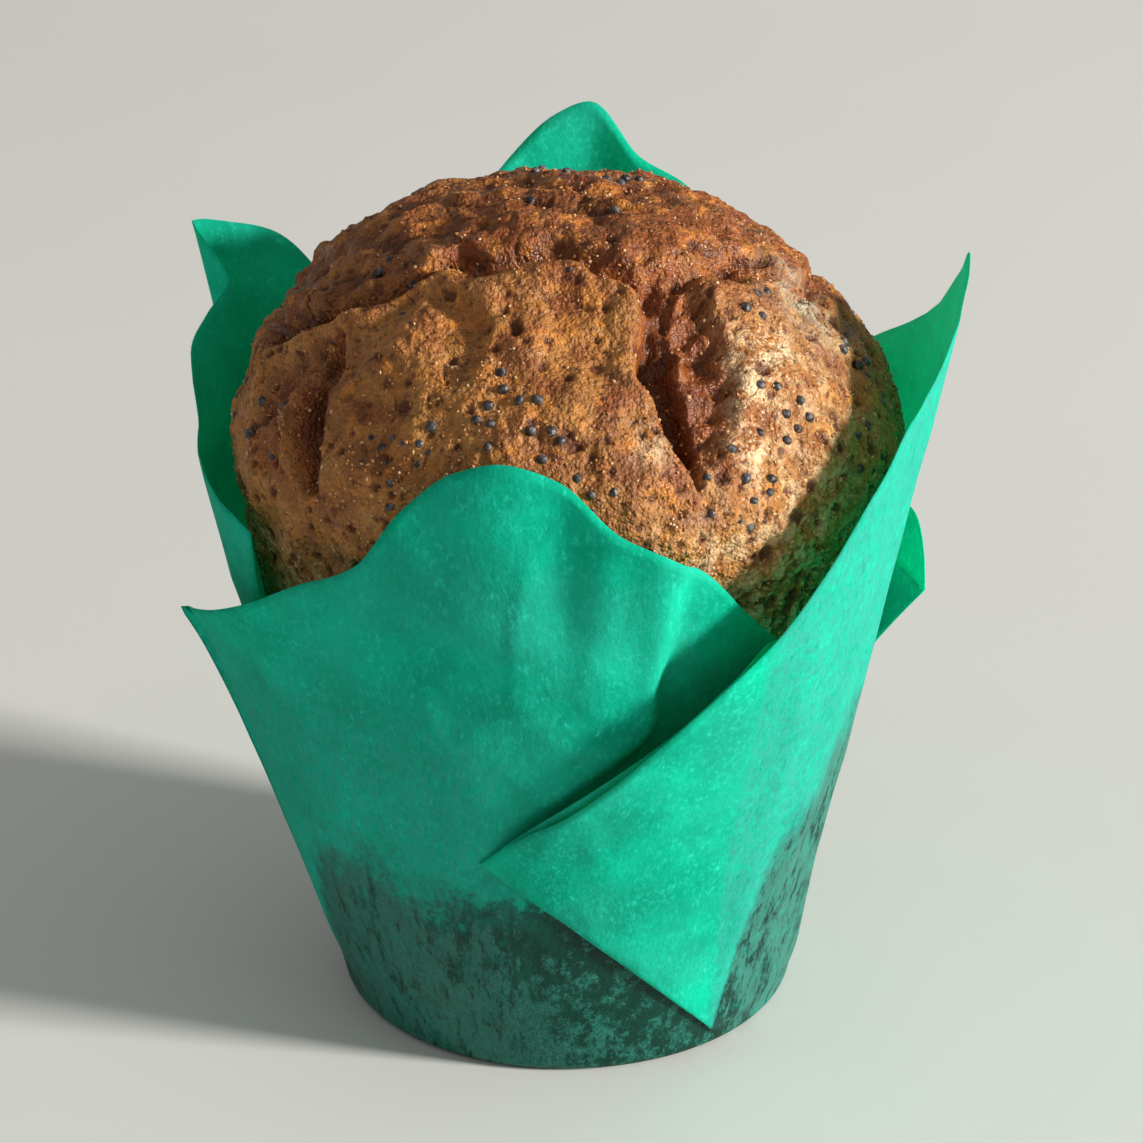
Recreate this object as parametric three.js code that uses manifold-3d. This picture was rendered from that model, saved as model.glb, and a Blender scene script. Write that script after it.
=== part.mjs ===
// A poppy seed muffin standing in the paper case it was baked in. Millimetres, +Z up.
// The origin is the centre of the case's flat underside. The front, with the lowest fold
// of the case, is towards -Y. Azimuths are in degrees from +X, counterclockwise from above.

import * as THREE from 'three';
import { mergeVertices } from 'three/addons/utils/BufferGeometryUtils.js';
import Module from 'manifold-3d';

const wasm = await Module();
wasm.setup();

// The case: a square sheet pressed into a cup with four pleats
const BASE_RADIUS = 25;
const WALL_SLOPE = 0.235; // growth of the wall's radius for each millimetre of height
const WALL_BEND = 0.0003; // how much that growth eases off higher up
const CORNER_RADIUS = 2.4; // rounding between the base and the wall
const BASE_SHIFT = [0.5, -0.35]; // how far the base sits out of line with the wall above it
const BASE_EASE = 22; // height at which the wall is back in line
const PAPER = 0.35; // thickness of the sheet
const LAYER_STEP = 0.6; // from one layer of a pleat to the next
const PLEAT_BASE_WIDTH = 5; // degrees that a pleat's strip takes up at the base, unfolded
const LAYER_EASE = 25; // degrees over which an outer flap settles back to the wall
const FOLD_THINNING = 0.6; // how much thinner the sheet is drawn where its folds are tightest
const COLUMN_GAP = 9; // widest gap between two columns of points, in degrees
const LEAN_POWER = 2; // a petal's lean grows with this power of the height
const CURL_POWER = 4; // the same for the front petal's tip, which curls in over the cake
const CURL_SPAN = [-135, -115, -80, -70]; // azimuths over which that tip starts and stops curling
const CORNER_TURN = 38; // degrees round the base's corner at which its middle ring of points lies
const FLAT_SHARE = 0.5; // where the ring of points on the flat base lies
const WALL_ROWS = [0, 0.04, 0.09, 0.16, 0.27, 0.4, 0.54, 0.68, 0.81, 0.92, 1];

// The cake
const CAKE_TOP = 91;
const CAKE_RADIUS = 36;
const CAKE_SHIFT = 0.5; // how far the widest place and the top sit towards +X from the foot
const CAKE_WIDEST = 65; // height of the widest place
const CAKE_FOOT_RADIUS = 23.2;
const CAKE_FOOT = 0.9; // height of its underside
const DOME_POWER = 1.8; // 2 is an ellipse, less is more pointed
const SIDE_POWER = 0.9;
const CAKE_DETAIL = 15; // divisions of each side of the icosahedron it starts from
const OUTLINE_STEPS = 60; // steps of the outline over the dome, and again down the side
const RELIEF_END = 66; // distance from the top, along the surface, where the crust's relief ends
const RELIEF_FADE = 10; // how far above that it starts to fade

// Poppy seeds lie in loose groups: azimuth, distance from the top, reach of the group, seeds
const SEED_GROUPS = [
  [-104, 32, 5, 10], [-120, 39, 6, 16], [-96, 36, 5, 9], [-84, 43, 6, 9], [-60, 44, 6, 12],
  [-48, 35, 6, 10], [-14, 37, 6, 11], [-28, 46, 6, 8], [-152, 40, 6, 9], [-150, 22, 9, 6],
  [-30, 26, 6, 4], [60, 36, 9, 14], [25, 42, 7, 8], [108, 38, 9, 13], [160, 38, 8, 11],
  [-175, 44, 5, 6], [90, 18, 14, 8], [0, 8, 22, 8],
];
const SEED_RADIUS = 0.66;
const SEED_RISE = 0.12; // how far a seed's centre lies above the crust
const SEED_APART = 1.35; // least distance between two seeds
const SEED_LOWEST = 52; // furthest from the top that a seed lies
const SEED_NOWHERE = -1.1; // no seed sits where the crust is sunk this deep
const SEEDS_FUSED = 2; // one seed in this many is part of the solid

// Free edge of each petal of the sheet, from its outer flap to its inner end:
// azimuth, height, how far it leans out from the wall, how far it bellies below that
const FRONT_PETAL = [
  [-165, 48.7, 5, 0], [-155, 51.2, 3.6, 0], [-143, 55.1, 2.2, 0.2], [-131.6, 59.6, 1.2, 0.4],
  [-123.5, 62.2, -0.3, 0.8], [-115, 69.4, -2.6, 1.2], [-106.9, 73.7, -3.8, 0.9],
  [-99.4, 75.1, -3.9, 0.6], [-90, 73.2, -3.3, 0.3], [-81.2, 68.4, -2, 0],
  [-74.6, 66.3, -0.4, -0.2], [-67.3, 62.9, 0, -0.6], [-59.5, 57.3, 0, -0.8], [-52, 52.7, 0, -0.6],
];
const RIGHT_PETAL = [
  [-104.5, 29.3, 1.2, 0], [-96.6, 33.7, 2.3, 0], [-89.3, 37.6, 3.1, 0], [-82.7, 41.1, 3.9, 0],
  [-77.1, 44.5, 4.5, 0], [-72, 47.5, 4.9, 0], [-65.6, 52, 5, 0], [-59.9, 56.6, 4.7, 0],
  [-52.6, 62.8, 3.7, 0], [-43.7, 70, 2.2, 0], [-33.8, 74.6, 1.1, 0],
  [-23, 75.6, 0.3, -0.3], [-17, 79, 0, -0.6], [-10, 83, -0.2, -0.7], [-4, 85.6, -0.3, -0.7],
  [2, 82, 0, -0.6], [9, 77.2, 0, -0.3], [19, 72.4, 0, 0], [31, 67.5, 0, 0], [40, 62, 0, 0],
  [47, 56, -0.3, 0],
];
const BACK_PETAL = [
  [9, 44, 3.9, 0], [16, 45.5, 3.3, 0], [23, 47, 2.4, 0], [35, 52, 1, 0], [47, 59, 0.5, 0],
  [58, 68, 0.3, 0], [70, 79.6, 0, 0], [78, 82.3, 0.6, 0], [86, 88, 2, 0], [91, 86.7, 1.5, 0],
  [100, 80.5, 1, 0], [112, 70, 0.3, 0], [125, 61, 0, 0], [140, 54, -0.3, 0],
];
const LEFT_PETAL = [
  [107, 43, 3, 0], [116, 50, 1.6, 0], [125, 60, 0.6, 0], [134, 73.5, 0, 0], [140, 78, 0, 0],
  [148, 80.5, 0.8, 0], [155.5, 81.6, 2.6, 0], [157.5, 76.4, 0, 0], [165, 74.2, -0.2, 0],
  [173, 71.6, 0, 0], [178, 64.5, 0, 0], [190, 63.4, -0.2, 0], [202, 62.8, -0.4, 0],
  [213, 61.5, -0.7, 0],
];

// The layer turned back inside each pleat, from the fold at its inner end to the outer flap's fold
const LEFT_PLEAT = [[213, 61.5, -0.7, 0], [209.5, 52, 0, 0], [203, 47, 1.5, 0], [195, 48.7, 5, 0]];
const FRONT_PLEAT = [
  [-52, 52.7, 0, -0.6], [-58.7, 55.6, 2.8, 0], [-65.2, 52.1, 3.7, 0], [-71.9, 47.8, 3.8, 0],
  [-82.8, 41.4, 3.2, 0], [-96.7, 33.9, 2.1, 0], [-104.5, 29.3, 1.2, 0],
];
const RIGHT_PLEAT = [[47, 56, -0.3, 0], [38, 52, 0, 0], [25, 46, 1.2, 0], [9, 44, 3.9, 0]];
const BACK_PLEAT = [[140, 54, -0.3, 0], [130, 51, 0, 0], [118, 45, 0.8, 0], [107, 43, 3, 0]];

// Petals in order round the case, each with the pleat at its inner end and where that meets the base
const SHEET = [
  { petal: FRONT_PETAL, pleat: FRONT_PLEAT, foot: -46 },
  { petal: RIGHT_PETAL, pleat: RIGHT_PLEAT, foot: 37 },
  { petal: BACK_PETAL, pleat: BACK_PLEAT, foot: 125 },
  { petal: LEFT_PETAL, pleat: LEFT_PLEAT, foot: 202 },
];

// The rim of the lobes round the raised top of the cake, with a crevice just above it:
// azimuth, distance from the top along the crust, depth of the crevice
const LEDGE = [
  [-190, 33.4, 1.6], [-170, 32.6, 2.8], [-151, 27.5, 2.2], [-139, 23, 1.8], [-132, 18.2, 1.2],
  [-124, 18.4, 1.4], [-113, 17.4, 1.4], [-95, 14.6, 1.6], [-76, 16.8, 1.8], [-62, 20, 2.4],
  [-42, 20.4, 1.6], [-23, 21.7, 1.4], [-14, 27, 1.4], [3, 30.7, 1.2], [30, 34, 0.8],
  [70, 31, 0.6], [110, 33, 0.8], [145, 31, 0.6], [170, 33.4, 1.6],
];
const LEDGE_WIDTH = 1.6;
const LEDGE_BACK = 1.3; // how far above the line the crevice lies
const LEDGE_RISE = 0.9; // how far the top of the cake stands out
const LEDGE_EASE = [-4, -2]; // where that rise ends, from the line
const LEDGE_CROWN = 12; // distance from the top over which it begins
const LIP = 0.9; // how far the lobes' rims stand up below the line
const LIP_REACH = 2.3;
const LIP_DEPTH = 1.6; // depth of the crevice below which the rim is lower

// Clefts in the crust: azimuth, distance from the top, half width, depth
const WIDE_CLEFT = [
  [-62, 20, 3, 2.2], [-62, 24.5, 3.3, 3.4], [-67, 28.5, 2.8, 3.4], [-65, 33, 4, 3.4],
  [-67, 38, 2.4, 3.4], [-69, 43.5, 0.9, 1.2],
];
const LEFT_CLEFT = [
  [-147, 30, 1.2, 1.2], [-141, 33, 1.6, 1.6], [-144, 37, 2.5, 2.4], [-143, 40.5, 2.6, 2.4],
  [-136, 43, 1.4, 1.4],
];
const SHOULDER_CREASE = [
  [-129, 22, 1.2, 0.6], [-117, 23, 1.6, 1], [-110, 25, 1.6, 1], [-105, 28.5, 1.2, 0.6],
];
const BACK_CLEFT = [[96, 32, 2, 1.6], [88, 37, 3, 2.8], [95, 43, 2.4, 2.2], [92, 48, 1, 1]];
const SIDE_CLEFT = [[150, 32, 1.6, 1.4], [156, 38, 2.4, 2.2], [150, 44, 1.2, 1]];
const CLEFT_RIM = 1.3; // where a cleft's wall ends, in half widths from its middle
const CLEFTS = [WIDE_CLEFT, LEFT_CLEFT, SHOULDER_CREASE, BACK_CLEFT, SIDE_CLEFT];

// Swellings and hollows: azimuth, distance from the top, reach, height
const SWELLINGS = [
  [-152, 41, 9, 1], [-100, 36, 11, 0.7], [-45, 34, 8, 0.8], [-90, 24, 6, -1.3],
  [-24, 38, 4.5, -1.5], [-12, 28, 6, -0.6], [10, 30, 12, -1.2], [-29, 20.7, 1.8, -1.2],
  [-130, 27, 5, 0.7], [-98, 20, 5, 0.6], [-174, 36, 7, 0.9], [-66, 7, 2.2, -0.9],
  [-44, 14, 2, -0.8], [-154, 14, 3, -0.7], [60, 40, 9, 0.9], [125, 40, 10, 0.8],
  [-178, 17, 9, 1.1], [-66, 57, 8, -1],
];

// Unevenness of the whole crust: waves across it, as direction, turns per millimetre and height
const WAVES = [
  [0.8, 0.5, 0.33, 0.62, 0.22], [-0.4, 0.9, 0.17, 0.81, 0.2], [0.3, -0.6, 0.74, 1.13, 0.16],
  [-0.9, -0.2, 0.38, 1.47, 0.12],
];

const radians = THREE.MathUtils.degToRad;

function smooth(from, to, value) {
  return THREE.MathUtils.smoothstep(value, from, to);
}

// Value number `item` of a list of keys at place x, on a curve without overshoots
function follow(keys, item, x) {
  let i = 0;
  while (i < keys.length - 2 && x > keys[i + 1][0]) {
    i += 1;
  }
  const slope = (k) => (keys[k + 1][item] - keys[k][item]) / (keys[k + 1][0] - keys[k][0]);
  const tangent = (k) => {
    if (k === 0) {
      return slope(0);
    }
    if (k === keys.length - 1) {
      return slope(k - 1);
    }
    const before = slope(k - 1);
    const after = slope(k);
    return before * after > 0 ? (2 * before * after) / (before + after) : 0;
  };
  const width = keys[i + 1][0] - keys[i][0];
  const t = THREE.MathUtils.clamp((x - keys[i][0]) / width, 0, 1);
  const rise = t * t * (3 - 2 * t);
  const start = t * (1 - t) * (1 - t) * width * tangent(i);
  const end = t * t * (t - 1) * width * tangent(i + 1);
  return keys[i][item] * (1 - rise) + keys[i + 1][item] * rise + start + end;
}

// A closed geometry from a list of points and a list of triangles
function geometryFrom(points, triangles) {
  const geometry = new THREE.BufferGeometry();
  geometry.setAttribute('position', new THREE.Float32BufferAttribute(points.flat(), 3));
  geometry.setIndex(triangles.flat());
  return geometry;
}

function solidFrom(geometry) {
  return new wasm.Manifold(new wasm.Mesh({
    numProp: 3,
    vertProperties: new Float32Array(geometry.getAttribute('position').array),
    triVerts: new Uint32Array(geometry.getIndex().array),
  }));
}

function geometryOf(solid) {
  const mesh = solid.getMesh();
  const geometry = new THREE.BufferGeometry();
  geometry.setAttribute('position', new THREE.BufferAttribute(mesh.vertProperties, 3));
  geometry.setIndex(new THREE.BufferAttribute(mesh.triVerts, 1));
  return geometry;
}

function wallRadius(height) {
  return BASE_RADIUS + WALL_SLOPE * height - WALL_BEND * height * height;
}

// Share of the height at which a pleat's strip stands on edge, between unfolded and turned back
function pleatOpening({ pleat }) {
  const overlap = pleat[0][0] - pleat[pleat.length - 1][0];
  return PLEAT_BASE_WIDTH / (PLEAT_BASE_WIDTH + overlap);
}

function curlPower(azimuth) {
  const [start, full, ease, end] = CURL_SPAN;
  const curled = smooth(start, full, azimuth) * (1 - smooth(ease, end, azimuth));
  return THREE.MathUtils.lerp(LEAN_POWER, CURL_POWER, curled);
}

// One column of the sheet runs from its foot on the base to its top on the free edge.
// Its layer is 0 on the wall, 1 turned back inside a pleat and 2 on the flap outside it.
function petalColumns(piece, before) {
  const { petal, foot } = piece;
  const footStart = before.foot + PLEAT_BASE_WIDTH / 2;
  const footEnd = foot - PLEAT_BASE_WIDTH / 2;
  const first = petal[0][0];
  const last = petal[petal.length - 1][0];
  const covered = before.pleat[0][0];
  const columns = [];
  petal.forEach((key, i) => {
    const next = petal[Math.min(i + 1, petal.length - 1)];
    const steps = Math.max(1, Math.ceil((next[0] - key[0]) / COLUMN_GAP));
    for (let k = 0; k < steps; k += 1) {
      const azimuth = key[0] + ((next[0] - key[0]) * k) / steps;
      const columnFoot = footStart + ((footEnd - footStart) * (azimuth - first)) / (last - first);
      const layer = 2 * (1 - smooth(covered, covered + LAYER_EASE, azimuth));
      columns.push({
        foot: columnFoot,
        foldedFoot: columnFoot,
        azimuth,
        height: follow(petal, 1, azimuth),
        lean: follow(petal, 2, azimuth),
        belly: follow(petal, 3, azimuth),
        layer,
        upright: layer,
        reach: 0,
        power: petal === FRONT_PETAL ? curlPower(azimuth) : LEAN_POWER,
        opening: pleatOpening(before),
      });
    }
  });
  return columns;
}

// The strip of a pleat, between its two folds. A fold reaches half a step past the layers that
// it joins, measured square to the fold, so a slanting fold reaches further round the wall.
function pleatColumns(piece) {
  const { pleat, foot } = piece;
  const footEnds = [foot - PLEAT_BASE_WIDTH / 2, foot + PLEAT_BASE_WIDTH / 2];
  const reach = ([azimuth, height], end) => {
    const sweep = radians(azimuth - footEnds[end]) * wallRadius(height);
    return (LAYER_STEP / 2) * Math.hypot(1, sweep / height);
  };
  const keys = pleat.map(([azimuth, height, lean, belly], i) => ({
    azimuth, height, lean, belly, layer: 1, reach: 0, along: i / (pleat.length - 1),
  }));
  const inner = { ...keys[0], layer: 0.5, reach: reach(pleat[0], 0) };
  const outer = { ...keys[keys.length - 1], layer: 1.5, reach: -reach(pleat[pleat.length - 1], 1) };
  const columns = [inner, ...keys, outer];
  return columns.map((column, i) => {
    const share = (i + 1) / (columns.length + 1);
    return {
      ...column,
      foot: THREE.MathUtils.lerp(...footEnds, share),
      foldedFoot: THREE.MathUtils.lerp(...footEnds, column.along),
      upright: 2 * share,
      power: LEAN_POWER,
      opening: pleatOpening(piece),
    };
  });
}

function sheetColumns() {
  const columns = [];
  SHEET.forEach((piece, i) => {
    const previous = SHEET[(i + SHEET.length - 1) % SHEET.length];
    const wrap = i === 0 ? -360 : 0;
    const before = {
      foot: previous.foot + wrap,
      pleat: previous.pleat.map(([azimuth, ...rest]) => [azimuth + wrap, ...rest]),
    };
    columns.push(...petalColumns(piece, before), ...pleatColumns(piece));
  });
  return columns;
}

// Point of the sheet's middle surface on a column, at a share of the height of its wall
function wallPoint(column, share) {
  const folded = smooth(column.opening, 2 * column.opening, share);
  const layer = THREE.MathUtils.lerp(column.upright, column.layer, folded);
  const foot = THREE.MathUtils.lerp(column.foot, column.foldedFoot, folded);
  const height = THREE.MathUtils.lerp(CORNER_RADIUS, column.height, share);
  const radius = wallRadius(height)
    + layer * LAYER_STEP * smooth(0, column.opening, share)
    + column.lean * share ** column.power
    + column.belly * Math.sin(Math.PI * share);
  const azimuth = radians(THREE.MathUtils.lerp(foot, column.azimuth, share))
    + (column.reach * folded) / radius;
  return new THREE.Vector3(radius * Math.cos(azimuth), radius * Math.sin(azimuth), height);
}

// The sheet is drawn thinner where a pleat's strip stands on edge between its two folds
function thicknessAt(column, share) {
  const folded = smooth(column.opening, 2 * column.opening, share);
  const tight = column.upright === column.layer ? 0 : 1 - folded;
  return PAPER * (1 - FOLD_THINNING * tight);
}

// Rings of the base and its rounded corner, as radius and height of the middle surface
function baseRings() {
  const flat = PAPER / 2;
  const rim = wallRadius(CORNER_RADIUS);
  const turn = radians(CORNER_TURN);
  return [
    [rim * FLAT_SHARE, flat],
    [rim - CORNER_RADIUS, flat],
    [
      rim - CORNER_RADIUS * (1 - Math.sin(turn)),
      flat + CORNER_RADIUS * (1 - Math.cos(turn)),
    ],
  ];
}

// The base of the case sits a little to one side, and the cake's foot with it
function settle(point) {
  const share = 1 - smooth(0, BASE_EASE, point.z);
  point.x += BASE_SHIFT[0] * share;
  point.y += BASE_SHIFT[1] * share;
  return point;
}

function caseGeometry() {
  const columns = sheetColumns();
  const rings = baseRings();
  const middle = columns.map((column) => {
    const foot = radians(column.foot);
    const base = rings.map(([radius, height]) => ({
      point: settle(new THREE.Vector3(radius * Math.cos(foot), radius * Math.sin(foot), height)),
      thickness: PAPER,
    }));
    const wall = WALL_ROWS.map((share) => ({
      point: settle(wallPoint(column, share)),
      thickness: thicknessAt(column, share),
    }));
    return [...base, ...wall];
  });
  const count = columns.length;
  const rows = middle[0].length;
  const points = [[0, 0, 0], [0, 0, PAPER]];
  const outside = (c, r) => 2 + ((c % count) * rows + r) * 2;
  const inside = (c, r) => outside(c, r) + 1;
  middle.forEach((column, c) => {
    const previous = middle[(c + count - 1) % count];
    const next = middle[(c + 1) % count];
    column.forEach(({ point, thickness }, r) => {
      const along = next[r].point.clone().sub(previous[r].point);
      const above = column[Math.min(r + 1, rows - 1)].point;
      const below = column[Math.max(r - 1, 0)].point;
      const upward = above.clone().sub(below);
      const normal = along.cross(upward).normalize().multiplyScalar(thickness / 2);
      if (r < rings.length - 1) {
        normal.set(0, 0, -PAPER / 2);
      }
      points.push(point.clone().add(normal).toArray(), point.clone().sub(normal).toArray());
    });
  });
  const triangles = [];
  for (let c = 0; c < count; c += 1) {
    triangles.push([0, outside(c + 1, 0), outside(c, 0)], [1, inside(c, 0), inside(c + 1, 0)]);
    for (let r = 0; r < rows - 1; r += 1) {
      triangles.push(
        [outside(c, r), outside(c + 1, r), outside(c + 1, r + 1)],
        [outside(c, r), outside(c + 1, r + 1), outside(c, r + 1)],
        [inside(c, r), inside(c + 1, r + 1), inside(c + 1, r)],
        [inside(c, r), inside(c, r + 1), inside(c + 1, r + 1)],
      );
    }
    const top = rows - 1;
    triangles.push(
      [outside(c, top), outside(c + 1, top), inside(c + 1, top)],
      [outside(c, top), inside(c + 1, top), inside(c, top)],
    );
  }
  return geometryFrom(points, triangles);
}

function sideRadius(height) {
  const share = (height / CAKE_WIDEST) ** SIDE_POWER;
  return CAKE_FOOT_RADIUS + (CAKE_RADIUS - CAKE_FOOT_RADIUS) * share;
}

// Outline of the cake from its top to the middle of its underside, with the distance along it
function cakeOutline() {
  const outline = [];
  for (let i = 0; i <= OUTLINE_STEPS; i += 1) {
    const angle = (Math.PI / 2) * (i / OUTLINE_STEPS);
    outline.push([
      CAKE_RADIUS * Math.sin(angle) ** (2 / DOME_POWER),
      CAKE_WIDEST + (CAKE_TOP - CAKE_WIDEST) * Math.cos(angle) ** (2 / DOME_POWER),
    ]);
  }
  for (let i = 1; i <= OUTLINE_STEPS; i += 1) {
    const height = CAKE_WIDEST + ((CAKE_FOOT - CAKE_WIDEST) * i) / OUTLINE_STEPS;
    outline.push([sideRadius(height), height]);
  }
  outline.push([0, CAKE_FOOT]);
  let along = 0;
  return outline.map(([radius, height], i) => {
    if (i > 0) {
      along += Math.hypot(radius - outline[i - 1][0], height - outline[i - 1][1]);
    }
    return { along, radius, height };
  });
}

const OUTLINE = cakeOutline();

// Radius, height and outward direction of the plain outline at a distance from the top
function outlineAt(along) {
  let i = 0;
  while (i < OUTLINE.length - 2 && along > OUTLINE[i + 1].along) {
    i += 1;
  }
  const from = OUTLINE[i];
  const to = OUTLINE[i + 1];
  const length = to.along - from.along;
  const t = THREE.MathUtils.clamp((along - from.along) / length, 0, 1);
  return {
    radius: from.radius + (to.radius - from.radius) * t,
    height: from.height + (to.height - from.height) * t,
    outward: (from.height - to.height) / length,
    upward: (to.radius - from.radius) / length,
  };
}

// Flat map of the crust: the top is its middle, and distances from the top are true
function onMap(azimuth, along) {
  return new THREE.Vector2(along * Math.cos(radians(azimuth)), along * Math.sin(radians(azimuth)));
}

function cleftDepth(place, cleft) {
  let depth = 0;
  for (let i = 0; i < cleft.length - 1; i += 1) {
    const start = onMap(cleft[i][0], cleft[i][1]);
    const line = onMap(cleft[i + 1][0], cleft[i + 1][1]).sub(start);
    const t = THREE.MathUtils.clamp(place.clone().sub(start).dot(line) / line.lengthSq(), 0, 1);
    const width = cleft[i][2] + (cleft[i + 1][2] - cleft[i][2]) * t;
    const deepest = cleft[i][3] + (cleft[i + 1][3] - cleft[i][3]) * t;
    const away = place.distanceTo(start.addScaledVector(line, t));
    depth = Math.max(depth, deepest * (1 - smooth(0, CLEFT_RIM * width, away)));
  }
  return depth;
}

// The raised top, the crevice round it and the rims of the lobes below
function ledgeRelief(azimuth, along) {
  const turn = azimuth > LEDGE[LEDGE.length - 1][0] ? azimuth - 360 : azimuth;
  const beyond = along - follow(LEDGE, 1, turn);
  const deep = follow(LEDGE, 2, turn);
  const crevice = deep * Math.exp(-(((beyond + LEDGE_BACK) / LEDGE_WIDTH) ** 2));
  const lip = LIP * Math.min(deep / LIP_DEPTH, 1)
    * Math.exp(-(((beyond - LEDGE_BACK) / LIP_REACH) ** 2));
  const top = LEDGE_RISE * (1 - smooth(...LEDGE_EASE, beyond)) * smooth(0, LEDGE_CROWN, along);
  return top + lip - crevice;
}

// How far the crust stands out from the plain outline, at an azimuth and a distance from the top
function relief(azimuth, along) {
  const place = onMap(azimuth, along);
  let height = ledgeRelief(azimuth, along);
  for (const cleft of CLEFTS) {
    height -= cleftDepth(place, cleft);
  }
  for (const [swellingAzimuth, swellingAlong, reach, rise] of SWELLINGS) {
    const away = place.distanceTo(onMap(swellingAzimuth, swellingAlong));
    height += rise * Math.exp(-((away / reach) ** 2));
  }
  const { radius, height: level } = outlineAt(along);
  const x = radius * Math.cos(radians(azimuth));
  const y = radius * Math.sin(radians(azimuth));
  for (const [towardsX, towardsY, towardsZ, turns, rise] of WAVES) {
    height += rise * Math.sin(turns * (towardsX * x + towardsY * y + towardsZ * level));
  }
  return height * (1 - smooth(RELIEF_END - RELIEF_FADE, RELIEF_END, along));
}

// Point of the crust, with the direction that it faces on the plain outline
function crustPoint(azimuth, along) {
  const { radius, height, outward, upward } = outlineAt(along);
  const rise = relief(azimuth, along);
  const c = Math.cos(radians(azimuth));
  const s = Math.sin(radians(azimuth));
  const facing = new THREE.Vector3(outward * c, outward * s, upward);
  const shift = CAKE_SHIFT * smooth(CAKE_FOOT, CAKE_WIDEST, height);
  const plain = new THREE.Vector3(radius * c + shift, radius * s, height);
  const point = plain.addScaledVector(facing, rise);
  return { point: settle(point), facing };
}

// Distance from the top for each angle on the sphere that the cake starts from, so that
// most triangles lie on the crust that shows
const SPREAD = [[0, 0], [105, 56], [150, 108], [180, OUTLINE[OUTLINE.length - 1].along]];

function cakeGeometry() {
  const start = new THREE.IcosahedronGeometry(1, CAKE_DETAIL);
  start.deleteAttribute('normal');
  start.deleteAttribute('uv');
  const geometry = mergeVertices(start);
  const position = geometry.getAttribute('position');
  for (let i = 0; i < position.count; i += 1) {
    const direction = new THREE.Vector3().fromBufferAttribute(position, i).normalize();
    const tilt = THREE.MathUtils.radToDeg(Math.acos(direction.z));
    const azimuth = THREE.MathUtils.radToDeg(Math.atan2(direction.y, direction.x));
    const { point } = crustPoint(azimuth, follow(SPREAD, 1, tilt));
    position.setXYZ(i, point.x, point.y, point.z);
  }
  return geometry;
}

// A small generator of repeatable random numbers from 0 to 1
function randomFrom(seed) {
  let state = seed;
  return () => {
    state = (state * 1664525 + 1013904223) % 4294967296;
    return state / 4294967296;
  };
}

// Places of the seeds that are part of the solid. Two random numbers together keep
// most of a group's seeds near its middle.
function seedPlaces() {
  const random = randomFrom(7);
  const spots = [];
  for (const [groupAzimuth, groupAlong, reach, count] of SEED_GROUPS) {
    const middle = onMap(groupAzimuth, groupAlong);
    for (let i = 0; i < count; i += 1) {
      const across = reach * (random() + random() - 1);
      const down = reach * (random() + random() - 1);
      const spot = new THREE.Vector2(middle.x + across, middle.y + down);
      const clear = spots.every((other) => other.distanceTo(spot) > SEED_APART);
      if (clear && spot.length() < SEED_LOWEST) {
        spots.push(spot);
      }
    }
  }
  const fused = spots.filter((_, i) => i % SEEDS_FUSED === 0);
  const places = fused.map((spot) => [THREE.MathUtils.radToDeg(spot.angle()), spot.length()]);
  return places
    .map(([angle, along]) => [angle > 180 ? angle - 360 : angle, along])
    .filter(([azimuth, along]) => relief(azimuth, along) > SEED_NOWHERE)
    .map(([azimuth, along]) => crustPoint(azimuth, along));
}

function seedGeometry({ point, facing }) {
  const start = new THREE.IcosahedronGeometry(SEED_RADIUS, 0);
  start.deleteAttribute('normal');
  start.deleteAttribute('uv');
  const geometry = mergeVertices(start);
  const place = point.clone().addScaledVector(facing, SEED_RISE);
  return geometry.translate(place.x, place.y, place.z);
}

function muffin() {
  let solid = solidFrom(cakeGeometry());
  for (const place of seedPlaces()) {
    solid = solid.add(solidFrom(seedGeometry(place)));
  }
  const crust = new THREE.MeshStandardMaterial({ color: 0xb47a3c, roughness: 0.85, metalness: 0 });
  const mesh = new THREE.Mesh(geometryOf(solid), crust);
  mesh.name = 'muffin';
  return mesh;
}

function paperCase() {
  const paper = new THREE.MeshStandardMaterial({ color: 0x12a67c, roughness: 0.75, metalness: 0 });
  const mesh = new THREE.Mesh(caseGeometry(), paper);
  mesh.name = 'paper_case';
  return mesh;
}

const part = new THREE.Group();
part.add(muffin(), paperCase());

export default part;
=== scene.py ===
"""Dresses a poppy seed muffin and its green paper case: crust, seeds, crumbs and folded paper.

Sizes are in millimetres inside the functions and become metres where a mesh is made.
Azimuths are in degrees from +X, counterclockwise from above; the front is towards -Y.
"""

import math

import bpy
import numpy as np
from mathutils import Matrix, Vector


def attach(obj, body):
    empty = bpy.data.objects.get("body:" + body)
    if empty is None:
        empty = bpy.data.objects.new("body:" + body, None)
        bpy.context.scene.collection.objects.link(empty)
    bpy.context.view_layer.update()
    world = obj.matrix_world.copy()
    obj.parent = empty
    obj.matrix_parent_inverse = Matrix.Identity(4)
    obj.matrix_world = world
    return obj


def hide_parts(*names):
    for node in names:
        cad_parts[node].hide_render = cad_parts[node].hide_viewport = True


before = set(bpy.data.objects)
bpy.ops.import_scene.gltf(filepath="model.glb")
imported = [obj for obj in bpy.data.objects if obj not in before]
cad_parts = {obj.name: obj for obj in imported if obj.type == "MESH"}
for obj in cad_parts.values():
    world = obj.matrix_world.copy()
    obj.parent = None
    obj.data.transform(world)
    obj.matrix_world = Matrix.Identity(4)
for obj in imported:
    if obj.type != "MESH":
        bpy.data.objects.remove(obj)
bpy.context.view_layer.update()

MM = 0.001

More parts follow.
